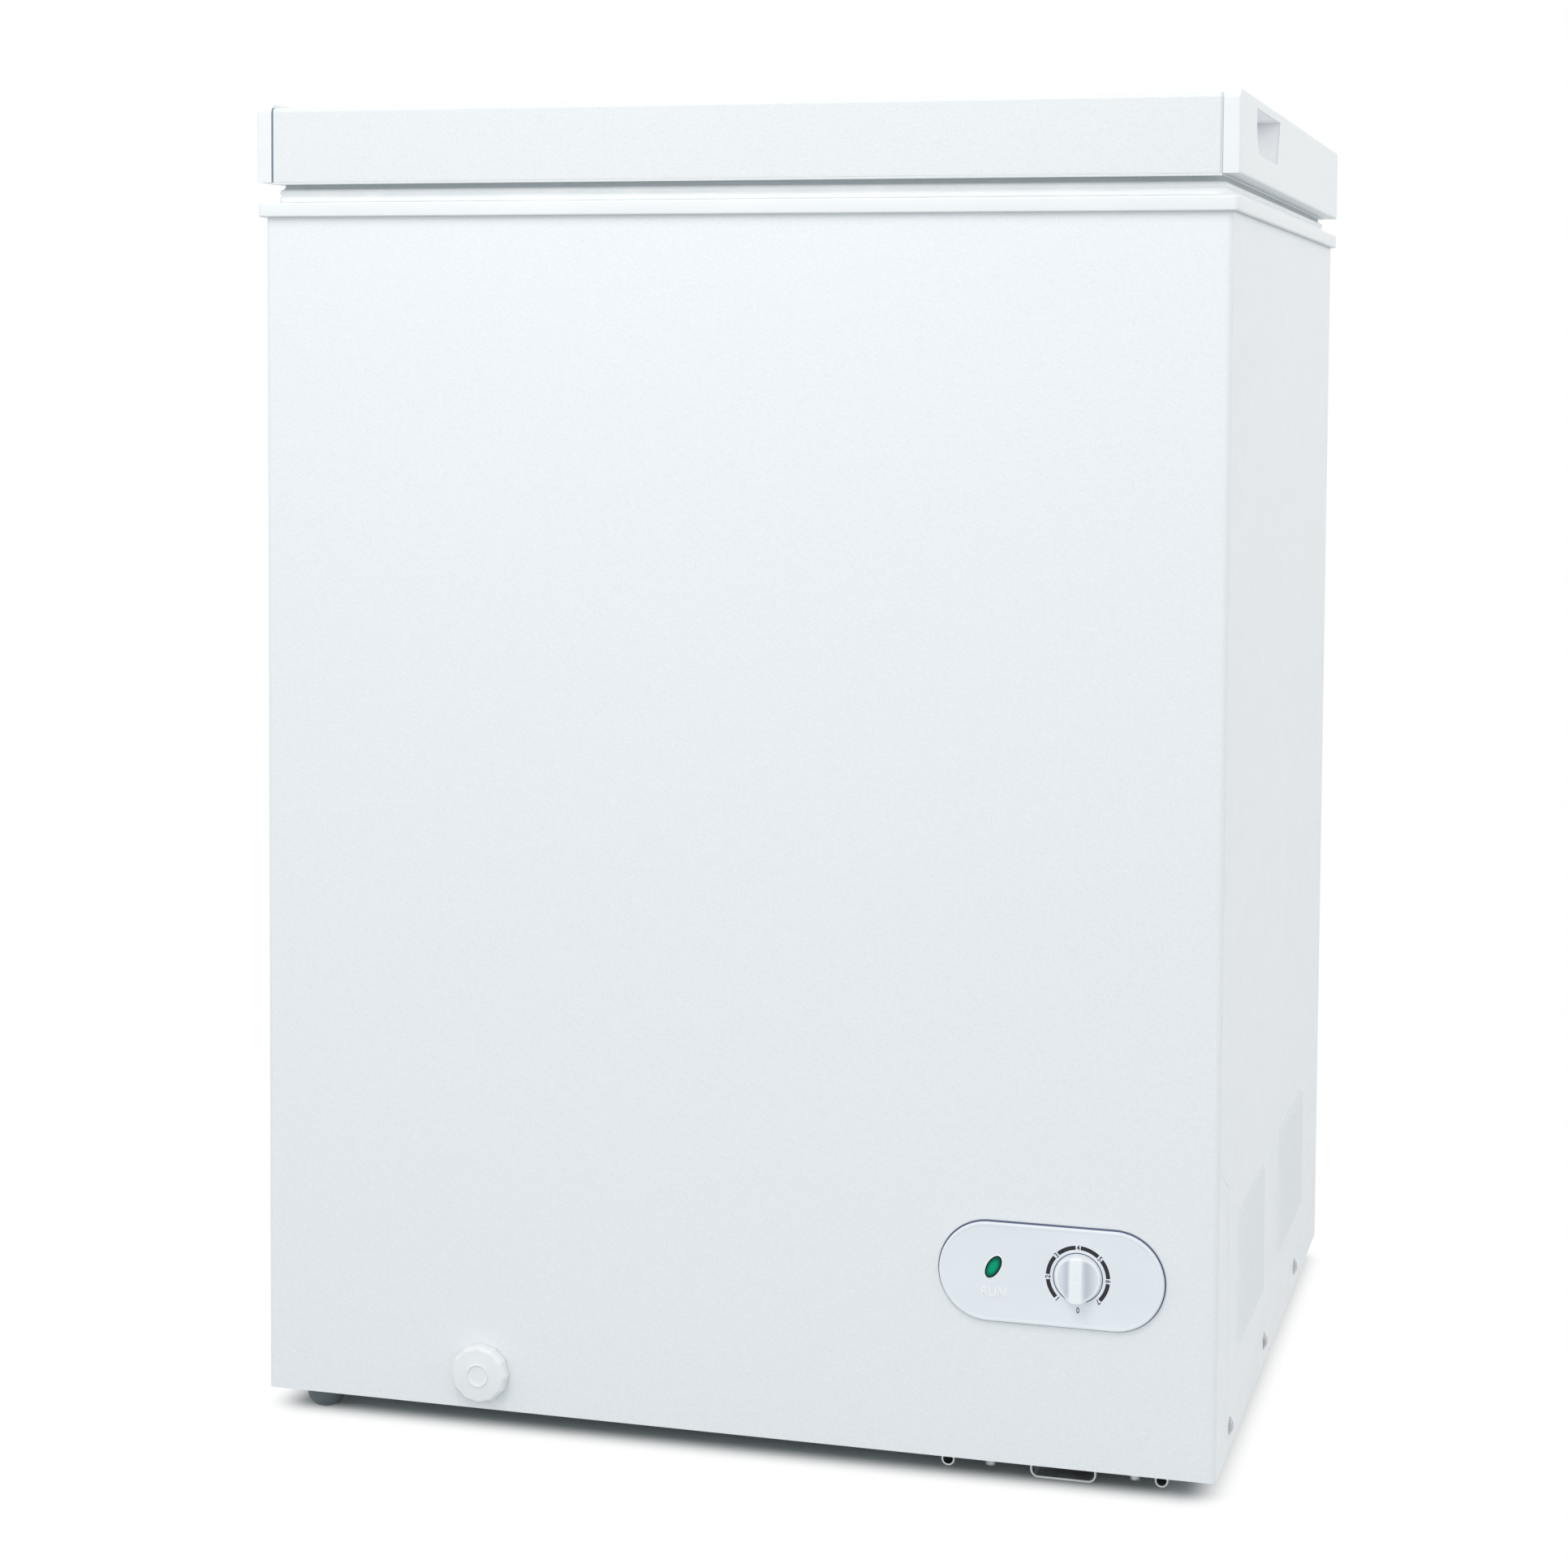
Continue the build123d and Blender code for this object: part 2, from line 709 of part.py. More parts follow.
def make_base_plate():
    """Open tray along the bay: rolled edges and a pressed channel in the middle."""
    top = base_top
    low = top - base_thick
    y0 = front + base_front
    length = back - y0

    def ring(x):
        return Pos(x, top - base_thick / 2 - bead_radius) * (Circle(bead_radius) - Circle(bead_radius - 1))

    plate = Pos((base_left + base_right) / 2, (top + low) / 2) * Rectangle(
        base_right - base_left - 2 * bead_radius, base_thick
    )
    width = channel_right - channel_left
    middle = (channel_left + channel_right) / 2

    def trough(grow):
        full = Pos(middle, top) * RectangleRounded(
            width - 2 * grow, 2 * (channel_depth - grow), channel_round - grow
        )
        return full & (Pos(middle, top - channel_depth) * Rectangle(width, 2 * channel_depth))

    section = plate + ring(base_left + bead_radius) + ring(base_right - bead_radius)
    section = section - trough(base_thick) + (trough(0) - trough(base_thick))
    tray = extrude(Plane(origin=(0, y0, 0), x_dir=(1, 0, 0), z_dir=(0, -1, 0)) * section, -length)
    tray -= [clearance_hole(place, (0, 0, 1)) for place in base_screw_places]
    tray -= foot_holes(right_feet)
    return tray - [rod(bolt_radius + seat, (x, y, 0), (x, y, foot_hole_top)) for x, y in leg_places]


def make_relay_cover():
    """Moulded cover over the starting relay, clipped to the compressor's front."""
    y1 = compressor_y - compressor_length / 2 - shell_flange - seat
    middle = Pos(compressor_x + relay_offset, y1 - relay_depth / 2, shell_low + shell_seam)
    box = middle * Box(relay_width, relay_depth, relay_height)
    box = fillet(box.edges().filter_by(Axis.Y), 6)
    return chamfer(box.faces().sort_by(Axis.Y)[0].edges(), 3)


def make_drier():
    """Copper filter drier with its ends spun down to the tubes."""
    outline = [
        (0, 0), (3.2, 0), (3.2, 8), (drier_radius, drier_cone), (drier_radius, drier_length - drier_cone),
        (2.2, drier_length - 8), (2.2, drier_length), (0, drier_length),
    ]
    face = make_face(Polyline(*[(r, 0, z) for r, z in outline], close=True))
    return Pos(drier_x, drier_y, drier_low) * revolve(face, Axis.Z)


def make_pipes():
    """The four short lines in the bay, each from its fitting into the wall."""
    end_round = compressor_width / 2
    y0 = compressor_y - compressor_length / 2 + end_round
    y0 -= (end_round ** 2 - (suction_reach - suction_radius) ** 2) ** 0.5 + run
    x, y, _ = suction_top
    suction = pipe(Circle(suction_radius), [(x, y0, suction_z), (x, y, suction_z), suction_top], 14.0)
    x, y, z = discharge_wall
    discharge = rod(discharge_radius, (compressor_x - compressor_width / 2 - seat, y, z), discharge_wall)
    x, y, z = liquid_wall
    turns = [liquid_wall, (drier_x, y, z), (drier_x, drier_y, z), (drier_x, drier_y, drier_low - seat)]
    liquid = pipe(Circle(liquid_radius), turns, liquid_bend)
    capillary = rod(capillary_radius, (drier_x, drier_y, drier_low + drier_length + seat), capillary_top)
    return {
        "suction_line": suction,
        "discharge_line": discharge,
        "liquid_line": liquid,
        "capillary_tube": capillary,
    }


# --- controls -------------------------------------------------------------------------------------
def make_bezel():
    """Oval panel with a soft edge and a shallow dished face."""
    plane = Plane(origin=(control_x, front - seat, floor_gap + control_z), x_dir=(1, 0, 0), z_dir=(0, -1, 0))
    body = extrude(plane * SlotOverall(bezel_length, bezel_height), bezel_thick - seat)
    body = fillet(body.faces().sort_by(Axis.Y)[0].edges(), 1.8)
    face = plane.offset(bezel_thick - seat - 0.6)
    body -= extrude(face * SlotOverall(bezel_length - 9, bezel_height - 9), 2)
    body -= rod(bush_radius + seat, knob_point(front - 2 * past), knob_point(front + past))
    return body - lamp_leaf(run, front - 2 * past, front + past)


def lamp_leaf(grow, y0, y1):
    """A leaf-shaped prism, leaning to the right, between two depths."""
    plane = Plane(origin=lamp_point(y1), x_dir=(1, 0, 0), z_dir=(0, -1, 0))
    leaf = Rot(0, 0, 90 - lamp_tilt) * Ellipse(lamp_length / 2 + grow, lamp_width / 2 + grow)
    return extrude(plane * leaf, y1 - y0)


def make_lamp_lens():
    lens = lamp_leaf(0, front - bezel_thick - 1.0, front - seat)
    return chamfer(lens.faces().sort_by(Axis.Y)[0].edges(), 0.8)


def make_lamp_holder():
    """Neon lamp in its sleeve behind the panel, with its stem up to the lens."""
    x, y, z = lamp_point(0)
    stem = rod(lamp_stem, (x, front - seat / 2, z), (x, front + sheet + seat, z))
    return stem + rod(lamp_tube, (x, front + sheet + seat, z), (x, front + 24.0, z))


def make_knob():
    """Round skirt with an upright grip bar between two scooped flanks, and a pointer at one end."""
    y1 = front - bezel_thick - run + 0.6
    y0 = front - bezel_thick - knob_stand
    x, _, z = knob_point(0)
    knob = rod(knob_radius, (x, y1, z), (x, y0, z))
    knob = chamfer(knob.faces().sort_by(Axis.Y)[0].edges(), 1.5)
    low, high = z - 2 * knob_radius, z + 2 * knob_radius
    scoop_y = y0 + scoop_depth - scoop_radius
    half_chord = (scoop_radius ** 2 - (scoop_radius - scoop_depth) ** 2) ** 0.5
    for side in (-1, 1):
        scoop_x = x + side * (grip_bar + half_chord)
        knob -= rod(scoop_radius, (scoop_x, scoop_y, low), (scoop_x, scoop_y, high))
    arrow = make_face(Polyline((-3.4, 3), (3.4, 3), (3.4, 0), (0, -2.6), (-3.4, 0), close=True))
    pointer = Pos(x, y0 + 0.5, z - knob_radius + 1) * Rot(90, 0, 0) * extrude(arrow, y0 + 2.5 - y1)
    bore = rod(shaft_radius + slip, (x, y1 + past, z), (x, front - bezel_thick - shaft_grip - seat, z))
    return knob + pointer - bore


def make_thermostat():
    """Thermostat body behind the front sheet with its bush through the panel."""
    x, _, z = knob_point(0)
    inside = front + sheet + seat
    body = block(x - 17, x + 17, inside, inside + 26, z - 22, z + 22)
    body += rod(bush_radius, (x, inside, z), (x, front - bezel_thick + 1.5, z))
    return body - rod(shaft_radius + slip, (x, front - 4 * past, z), (x, inside + shaft_hold + 1.0, z))


def make_shaft():
    x, _, z = knob_point(0)
    inner_end = (x, front + sheet + seat + shaft_hold, z)
    return rod(shaft_radius, inner_end, (x, front - bezel_thick - shaft_grip, z))


# --- drain ----------------------------------------------------------------------------------------
def drain_pipe(radius):
    """Mitred elbow from the tank floor to the cabinet's front."""
    _, y, z = drain_point(front + drain_inset)
    low = drain_point(front)
    top = drain_hole_point(tank_floor)
    path = Polyline(low, (drain_x, y - drain_turn, z), (drain_x, y, z + drain_turn), top)
    start = Plane(origin=low, z_dir=(0, 1, 0))
    return sweep(start * Circle(radius), path, transition=Transition.RIGHT)


def make_drain_tube():
    return drain_pipe(drain_bore + drain_wall) - drain_pipe(drain_bore)


def make_drain_cap():
    """Scalloped twist cap on a spigot, with a raised ring in the middle."""
    x, _, z = drain_point(0)
    disc = rod(drain_cap_radius, (x, front - run, z), (x, front - drain_cap_thick, z))
    reach = drain_cap_radius + scallop_radius - 1.3
    face_y = front - drain_cap_thick
    for index in range(scallops):
        angle = radians(index * 360 / scallops)
        px = x + reach * cos(angle)
        pz = z + reach * sin(angle)
        disc -= rod(scallop_radius, (px, front + past, pz), (px, face_y - past, pz))
    ring = rod(7.5, (x, face_y, z), (x, face_y - 1.0, z))
    ring -= rod(5.5, (x, face_y, z), (x, face_y - past, z))
    return disc + ring + rod(drain_bore - run, (x, front - 2.0, z), (x, front + 16.0, z))


def make_drain_plug():
    """Rubber stopper in the tank floor with a tab to pull it by."""
    x, y, _ = drain_hole_point(0)
    z = tank_floor
    flange = z + run + 2.5
    plug = rod(drain_bore - run, (x, y, z - 12.0), (x, y, z + run))
    plug += rod(drain_bore + drain_wall + 3.0, (x, y, z + run), (x, y, flange))
    return plug + block(x - 7, x + 7, y - 1.5, y + 1.5, flange - 0.5, flange + 11.0)


# --- outside fittings -----------------------------------------------------------------------------
def make_grille():
    """Slotted cover over the bay's rear opening."""
    y0 = back + seat
    grille = block(grille_left, grille_right, y0, y0 + sheet, grille_bottom, grille_top)
    inner = grille_right - grille_left - 60
    slot_pitch = 14.0
    number = int(inner // slot_pitch)
    slot_height = (grille_top - grille_bottom - 50) / 2
    for row in (0, 1):
        z0 = grille_bottom + 20 + row * (slot_height + 10)
        for index in range(number + 1):
            x = grille_left + 30 + index * slot_pitch
            if row == 1 and index > number - 3:
                continue
            grille -= block(x - 3, x + 3, y0 - past, y0 + past, z0, z0 + slot_height)
    grille -= [clearance_hole(place, (0, -1, 0)) for place in grille_screw_places]
    return grille - rod(gland_radius + seat, gland_point(y0 - past), gland_point(y0 + past))


def gland_point(y):
    return (grille_right - 36, y, grille_top - 40)


def make_gland():
    """Bush where the mains lead would pass."""
    y0 = back - 4.0
    y1 = back + 5.0
    gland = rod(gland_radius, gland_point(y0), gland_point(y1))
    gland += rod(gland_radius + gland_flange, gland_point(back + seat + sheet + seat), gland_point(y1))
    return gland - rod(lead_radius, gland_point(y0 - past), gland_point(y1 + past))


def foot(stem):
    """Rounded foot on a push-in stem, centred on the origin with its flat tread on the floor."""
    flat = foot_radius * 0.36
    shoulder = foot_radius * 0.72
    dome = ThreePointArc((flat, 0, 0), (foot_radius * 0.8, 0, foot_radius * 0.3), (foot_radius, 0, shoulder))
    rest = Polyline(
        (foot_radius, 0, shoulder), (foot_radius, 0, stem[0]), (foot_stem, 0, stem[0]),
        (foot_stem, 0, stem[1]), (0, 0, stem[1]), (0, 0, 0), (flat, 0, 0),
    )
    return revolve(make_face(dome + rest), Axis.Z)


def make_feet():
    """Left feet under the cabinet, right feet under the compressor base plate."""
    left = foot((floor_gap - seat, floor_gap + foot_stem_long))
    right = foot((base_top - base_thick - seat, base_top + foot_stem_short))
    return [Pos(x, y, 0) * left for x, y in left_feet] + [Pos(x, y, 0) * right for x, y in right_feet]


# --- lid ------------------------------------------------------------------------------------------
def lid_section(inset, x0, x1):
    """The lid's section, set in from the sheet's outer face and carried from x0 to x1."""
    body = block(
        x0, x1, skin_front + inset, skin_back - inset, lid_bottom + inset, skin_top - inset
    )
    top = body.edges().filter_by(Axis.X).group_by(Axis.Z)[-1]
    return fillet(top, max(skin_round - inset, 0.5))


def make_skin():
    """Lid sheet: front, top and back, with its lower edges turned in."""
    body = lid_section(0, -skin_x, skin_x) - lid_section(sheet, -skin_x - past, skin_x + past)
    body -= block(
        -far, far, rim_front + gasket_inset, rim_back - gasket_inset, lid_bottom - past, lid_bottom + past
    )
    for x, y, z in lid_hinge_screws:
        body -= [clearance_hole((x + side * hinge_x, y, z), (0, -1, 0)) for side in (-1, 1)]
    return body


def make_lid_foam():
    """Insulation inside the lid and its inner pan."""
    foam = lid_section(sheet + seat, -skin_x + seat, skin_x - seat)
    foam -= block(-far, far, -far, far, 0, pan_top + seat)
    foam += pan_solid(pan_sheet + seat)
    foam -= [grip_cut(side, grip_wall + seat) for side in (-1, 1)]
    for x, y, z in lid_hinge_screws:
        foam -= [clearance_hole((x + side * hinge_x, y, z), (0, -1, 0)) for side in (-1, 1)]
    return foam


def pan_solid(inset):
    """The pan that hangs into the tank's mouth, drawn in towards its floor."""
    x = mouth_x - pan_margin - inset
    y0 = mouth_front + pan_margin + inset
    y1 = mouth_back - pan_margin - inset
    middle = (y0 + y1) / 2
    outline = Pos(0, middle, pan_top + 1) * RectangleRounded(2 * x, y1 - y0, tank_corner - inset)
    depth = pan_top + 1 - (rim_top - pan_depth / 2) - inset
    return extrude(outline, -depth, taper=8)


def make_pan():
    """Moulded inner face of the lid: a flat flange and a drawn-down pan."""
    y0 = skin_front + sheet + seat
    y1 = skin_back - sheet - seat
    flange = block(-skin_x + seat, skin_x - seat, y0, y1, pan_bottom, pan_top)
    below = block(-far, far, -far, far, 0, pan_top)
    body = flange + (pan_solid(0) & below)
    return body - pan_solid(pan_sheet)


def make_gasket():
    """Bellows seal on the pan's flange, in one mitred ring."""
    low = rim_top + run
    high = pan_bottom - 0.02
    layers = [(0.0, 0.34, 0.0), (0.34, 0.42, 1.4), (0.42, 0.66, 0.4), (0.66, 1.0, 3.6)]
    return sum(
        (gasket_frame(inset, low + (high - low) * bottom, low + (high - low) * top)
         for bottom, top, inset in layers),
        Part(),
    )


def gasket_frame(inset, z0, z1):
    x = rim_x - gasket_inset - inset
    y0 = rim_front + gasket_inset + inset
    y1 = rim_back - gasket_inset - inset
    width = gasket_width - 2 * inset
    outer = round_block(-x, x, y0, y1, z0, z1, 6.0)
    return outer - block(-x + width, x - width, y0 + width, y1 - width, z0 - past, z1 + past)


def grip_cut(side, grow):
    """The scooped grip recess in one end cap, enlarged by grow."""
    x = rim_x
    top = lid_top - grip_below_top + grow
    low = lid_top - grip_below_top - grip_height - grow
    deep = x - grip_depth - grow
    y0 = front + grip_front - grow
    y1 = y0 + grip_length + 2 * grow
    wall_z = top - grip_height * 0.28
    bulge = (deep + 0.35 * (x - deep), 0, low + 0.3 * (wall_z - low))
    edge = Polyline((x, 0, low), (x + past, 0, low), (x + past, 0, top), (deep, 0, top), (deep, 0, wall_z))
    edge += ThreePointArc((deep, 0, wall_z), bulge, (x, 0, low))
    scoop = extrude(Pos(0, y0, 0) * make_face(edge), y1 - y0, dir=(0, 1, 0))
    front_end = low + grip_height * 0.5
    mouth = Polyline(
        (x, y0 + 20, low), (x, y1 - 12, low), (x, y1, top), (x, y0, top), (x, y0 + 1.5, front_end)
    )
    mouth += ThreePointArc(
        (x, y0 + 1.5, front_end), (x, y0 + 7, low + grip_height * 0.21), (x, y0 + 20, low)
    )
    cut = scoop & extrude(Pos(past, 0, 0) * make_face(mouth), 2 * grip_depth + past, dir=(-1, 0, 0))
    return cut if side > 0 else mirror(cut, Plane.YZ)


def make_cap(side):
    """Moulded end cap with rounded edges and the grip recess in its side."""
    x0, x1 = skin_x + seat, rim_x
    body = block(x0, x1, rim_front, rim_back, lid_bottom, lid_top)
    ends = body.edges().filter_by(Axis.X).group_by(Axis.Z)[-1]
    body = fillet(ends, cap_round)
    outer_edges = body.faces().sort_by(Axis.X)[-1].edges()
    body = fillet(outer_edges, 1.5)
    body -= block(
        x0 - past, x1 - cap_wall, rim_front + cap_wall, rim_back - cap_wall,
        lid_bottom + cap_wall, lid_top - cap_wall,
    )
    body += grip_cut(1, grip_wall) & block(0, x1 - 1, front, back, lid_bottom, lid_top)
    body -= grip_cut(1, 0)
    return body if side > 0 else mirror(body, Plane.YZ)


# --- hinges ---------------------------------------------------------------------------------------
def make_hinge_base():
    """Channel screwed to the back: it holds the pin in two ears and the spring between its walls."""
    y0 = back + seat
    y1 = back + hinge_stand
    inner = hinge_inner
    outer = inner + hinge_plate
    top = rim_bottom - hinge_below
    neck = axis_y - knuckle_radius
    ear = profile_x(
        [(y0, hinge_bottom), (y1, hinge_bottom), (y1, axis_z), (neck, axis_z), (neck, top), (y0, top)],
        0, hinge_plate,
    )
    ear += rod(knuckle_radius, (0, axis_y, axis_z), (hinge_plate, axis_y, axis_z))
    body = Pos(inner, 0, 0) * ear + Pos(-outer, 0, 0) * ear
    body += block(-outer, outer, y1 - hinge_plate, y1, hinge_bottom, hinge_web_top)
    body += block(-outer, outer, y0, y1, hinge_bottom, hinge_bottom + hinge_plate)
    for side in (-1, 1):
        x0, x1 = sorted((side * inner, side * (outer + hinge_flange)))
        body += block(x0, x1, y0, y0 + hinge_plate, hinge_bottom, top)
    body -= [clearance_hole(place, (0, -1, 0)) for place in base_hinge_screws]
    return body - rod(pin_radius + slip, (-leaf_half, axis_y, axis_z), (leaf_half, axis_y, axis_z))


def cam_points():
    """Involute flank: its height over a flat plunger falls evenly as the lid opens."""
    points = []
    steps = 8
    for index in range(steps + 1):
        angle = radians(lid_travel) * index / steps
        reach = cam_lift - cam_rate * angle
        y = reach * sin(angle) - cam_rate * cos(angle)
        z = -reach * cos(angle) - cam_rate * sin(angle)
        points.append((0, axis_y + y, axis_z + z))
    return points


def make_hinge_leaf():
    """Plate on the lid's back with one thick knuckle that ends in the cam."""
    half = hinge_inner - 3.0
    plate = block(-leaf_half, leaf_half, leaf_y, leaf_y + hinge_plate, leaf_bottom, leaf_top)
    face_y = leaf_y + hinge_plate
    arm = profile_x(
        [
            (face_y - 0.5, leaf_bottom), (axis_y - knuckle_radius + 1.0, axis_z),
            (axis_y + knuckle_radius - 1.0, axis_z + 2), (face_y + 1.5, leaf_top - 6),
            (face_y - 0.5, leaf_top - 6),
        ],
        -half, half,
    )
    hub = rod(knuckle_radius - 0.5, (-half, axis_y, axis_z), (half, axis_y, axis_z))
    flank = cam_points()
    back_of_cam = Polyline(
        flank[-1], (0, axis_y + knuckle_radius - 0.6, axis_z), (0, axis_y, axis_z + 2),
        (0, axis_y - knuckle_radius + 0.6, axis_z), flank[0],
    )
    cam = extrude(make_face(Spline(*flank) + back_of_cam), 2 * half, dir=(1, 0, 0))
    body = plate + arm + hub + Pos(-half, 0, 0) * cam
    body -= [clearance_hole(place, (0, -1, 0)) for place in lid_hinge_screws]
    return body - rod(pin_radius + slip, (-leaf_half, axis_y, axis_z), (leaf_half, axis_y, axis_z))


def make_hinge_pin():
    """Rivet through the ears and the knuckle."""
    end = hinge_inner + hinge_plate + slip
    pin = rod(pin_radius, (-end, axis_y, axis_z), (end, axis_y, axis_z))
    for side in (-1, 1):
        pin += rod(pin_radius + 1.5, (side * end, axis_y, axis_z), (side * (end + 1.5), axis_y, axis_z))
    return pin


spring_y = (back + back + hinge_stand - hinge_plate) / 2 + 0.4
plunger_top = axis_z - cam_lift - run
plunger_step = rim_bottom - cam_rate * radians(lid_travel) - 2 * run
plunger_low = plunger_step - 5.0
spring_low = hinge_bottom + hinge_plate
spring_high = plunger_low - seat


def make_plunger():
    """Flat-topped slide block between the cam and the spring, with a spigot into the spring."""
    x = hinge_inner - run
    y1 = back + hinge_stand - hinge_plate - run
    body = block(-x, x, back + 2 * seat, y1, plunger_low, plunger_step)
    body += block(-x, x, rim_back + run, y1, plunger_low, plunger_top)
    return body + rod(spigot_radius, (0, spring_y, plunger_low), (0, spring_y, plunger_low - 14.0))


def make_spring():
    """Compression spring of square wire, each turn drawn in straight pieces."""
    height = spring_high - spring_low - spring_wire - seat
    radius = spring_radius - spring_wire / 2
    steps = spring_turns * spring_facets
    points = []
    for index in range(steps + 1):
        angle = radians(360 * index / spring_facets)
        points.append((radius * cos(angle), radius * sin(angle), height * index / steps))
    path = Polyline(*points)
    section = Plane(origin=points[0], z_dir=path % 0, x_dir=(1, 0, 0)) * Rectangle(spring_wire, spring_wire)
    wire = sweep(section, path, is_frenet=True, transition=Transition.RIGHT)
    return Pos(0, spring_y, spring_low + (spring_wire + seat) / 2) * wire


# --- basket ---------------------------------------------------------------------------------------
basket_left = -tank_x + basket_gap
basket_right = basket_left + basket_width
basket_front = tank_front + basket_gap
basket_back = tank_back - basket_gap
basket_top = ledge_z + run + basket_wire
basket_floor = basket_top - basket_height


def make_basket():
    """Basket of welded wires whose end handles rest on the shelf round the mouth."""
    w = basket_wire
    corner = tank_corner - basket_gap / 2
    body = round_block(
        basket_left, basket_right, basket_front, basket_back, basket_floor, basket_top, corner
    )
    body -= round_block(
        basket_left + w, basket_right - w, basket_front + w, basket_back - w,
        basket_floor + w, basket_top + past, corner - w,
    )

    def windows(low, high):
        number = round((high - low - w) / basket_mesh)
        pitch = (high - low - w) / number
        return [(low + w + i * pitch, low + (i + 1) * pitch) for i in range(number)]

    columns = windows(basket_left, basket_right)
    rows = windows(basket_front, basket_back)
    levels = windows(basket_floor, basket_top)
    low, high = basket_floor - past, basket_floor + past
    holes = [block(x0, x1, y0, y1, low, high) for x0, x1 in columns for y0, y1 in rows]
    holes += [block(x0, x1, -far, far, z0, z1) for x0, x1 in columns for z0, z1 in levels]
    holes += [block(-far, far, y0, y1, z0, z1) for y0, y1 in rows for z0, z1 in levels]
    body -= holes
    reach = basket_gap + ledge - 2.0
    for y0, y1 in ((basket_front - reach, basket_front + w), (basket_back - w, basket_back + reach)):
        for x0, x1 in (columns[0], columns[-1]):
            body += block(x0 - w, x1 + w, y0, y1, basket_top - w, basket_top) - block(
                x0, x1, y0 + w, y1 - w, basket_top - 2 * w, basket_top + w
            )
    return body


# --- export ---------------------------------------------------------------------------------------
pieces = {
    "cabinet_wrapper": make_wrapper(),
    "rear_panel": make_rear_panel(),
    "bottom_panel": make_bottom_panel(),
    "bay_rail": make_bay_rail(),
    "cabinet_foam": make_foam(),
    "inner_tank": make_tank(),
    "rim_frame": make_rim_frame(),
    "evaporator_coil": make_evaporator(),
    "condenser_coil": make_condenser(),
    "compressor_shell": make_compressor(),
    "compressor_legs": make_compressor_legs(),
    "compressor_grommets": make_grommets(),
    "compressor_bolts": make_compressor_bolts(),
    "relay_cover": make_relay_cover(),
    "base_plate": make_base_plate(),
    "base_plate_screws": [screw(place, (0, 0, 1)) for place in base_screw_places],
    "filter_drier": make_drier(),
    "control_bezel": make_bezel(),
    "control_knob": make_knob(),
    "thermostat": make_thermostat(),
    "thermostat_shaft": make_shaft(),
    "lamp_lens": make_lamp_lens(),
    "lamp_holder": make_lamp_holder(),
    "drain_cap": make_drain_cap(),
    "drain_tube": make_drain_tube(),
    "drain_plug": make_drain_plug(),
    "rear_grille": make_grille(),
    "rear_grille_screws": [screw(place, (0, -1, 0)) for place in grille_screw_places],
    "side_screws": [screw(place, (-1, 0, 0)) for place in side_screw_places],
    "cable_gland": make_gland(),
    "feet": make_feet(),
    "lid_skin": make_skin(),
    "lid_cap_left": make_cap(-1),
    "lid_cap_right": make_cap(1),
    "lid_foam": make_lid_foam(),
    "lid_pan": make_pan(),
    "lid_gasket": make_gasket(),
    "basket": make_basket(),
}
pieces.update(make_pipes())
hinge_pieces = {
    "hinge_base": make_hinge_base(),
    "hinge_leaf": make_hinge_leaf(),
    "hinge_pin": make_hinge_pin(),
    "hinge_plunger": make_plunger(),
    "hinge_spring": make_spring(),
}
for name, piece in hinge_pieces.items():
    pieces[name + "_left"], pieces[name + "_right"] = at_hinges(piece)
pieces["hinge_base_screws"] = sum(
    [at_hinges(screw(place, (0, -1, 0))) for place in base_hinge_screws], []
)
pieces["hinge_leaf_screws"] = sum(
    [at_hinges(screw(place, (0, -1, 0))) for place in lid_hinge_screws], []
)

os.makedirs("parts", exist_ok=True)
for name, piece in pieces.items():
    shape = Compound(children=piece) if isinstance(piece, list) else piece
    export_step(shape, f"parts/{name}.step")
    print(name, "solids:", len(shape.solids()), "volume:", round(shape.volume))
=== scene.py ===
# %% [markdown]
# # Chest freezer
# The measured part is loaded first and never moved. Every new piece is worked out in metres in the same
# frame: the floor is z = 0, the front faces -y, and the real sizes of the freezer are the sizes used here.

# %% Load the measured part
import json
from itertools import product
from math import cos, pi, radians, sin

import bmesh
import bpy
import numpy as np
from mathutils import Matrix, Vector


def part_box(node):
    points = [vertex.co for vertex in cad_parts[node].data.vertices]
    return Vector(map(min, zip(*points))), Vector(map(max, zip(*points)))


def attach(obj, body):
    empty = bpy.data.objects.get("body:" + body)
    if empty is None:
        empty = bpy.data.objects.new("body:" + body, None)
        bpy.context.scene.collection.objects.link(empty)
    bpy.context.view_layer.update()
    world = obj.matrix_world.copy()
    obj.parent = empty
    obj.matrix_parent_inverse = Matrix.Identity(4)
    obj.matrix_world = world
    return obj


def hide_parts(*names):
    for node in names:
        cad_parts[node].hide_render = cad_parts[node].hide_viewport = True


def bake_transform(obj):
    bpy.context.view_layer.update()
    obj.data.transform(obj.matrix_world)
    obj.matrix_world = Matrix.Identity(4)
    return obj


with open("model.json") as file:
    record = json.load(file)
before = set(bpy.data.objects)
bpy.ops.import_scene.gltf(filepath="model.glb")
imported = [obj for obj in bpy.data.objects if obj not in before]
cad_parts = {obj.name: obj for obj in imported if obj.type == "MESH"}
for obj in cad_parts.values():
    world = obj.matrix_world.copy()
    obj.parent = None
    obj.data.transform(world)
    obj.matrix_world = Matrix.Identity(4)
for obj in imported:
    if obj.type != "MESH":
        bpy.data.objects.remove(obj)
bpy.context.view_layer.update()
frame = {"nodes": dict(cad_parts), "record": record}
nodes = frame["nodes"]
MM = 0.001

# %% [markdown]
# ## Places and objects
# A node's box gives the places that the new pieces are built on. New data is seen only once an object
# holds it and the scene's collection holds that object.

# %% Places and objects
def box_of(name):
    """The lowest and the highest corner of a node, as the two rows of an array."""
    return np.array(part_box(name))


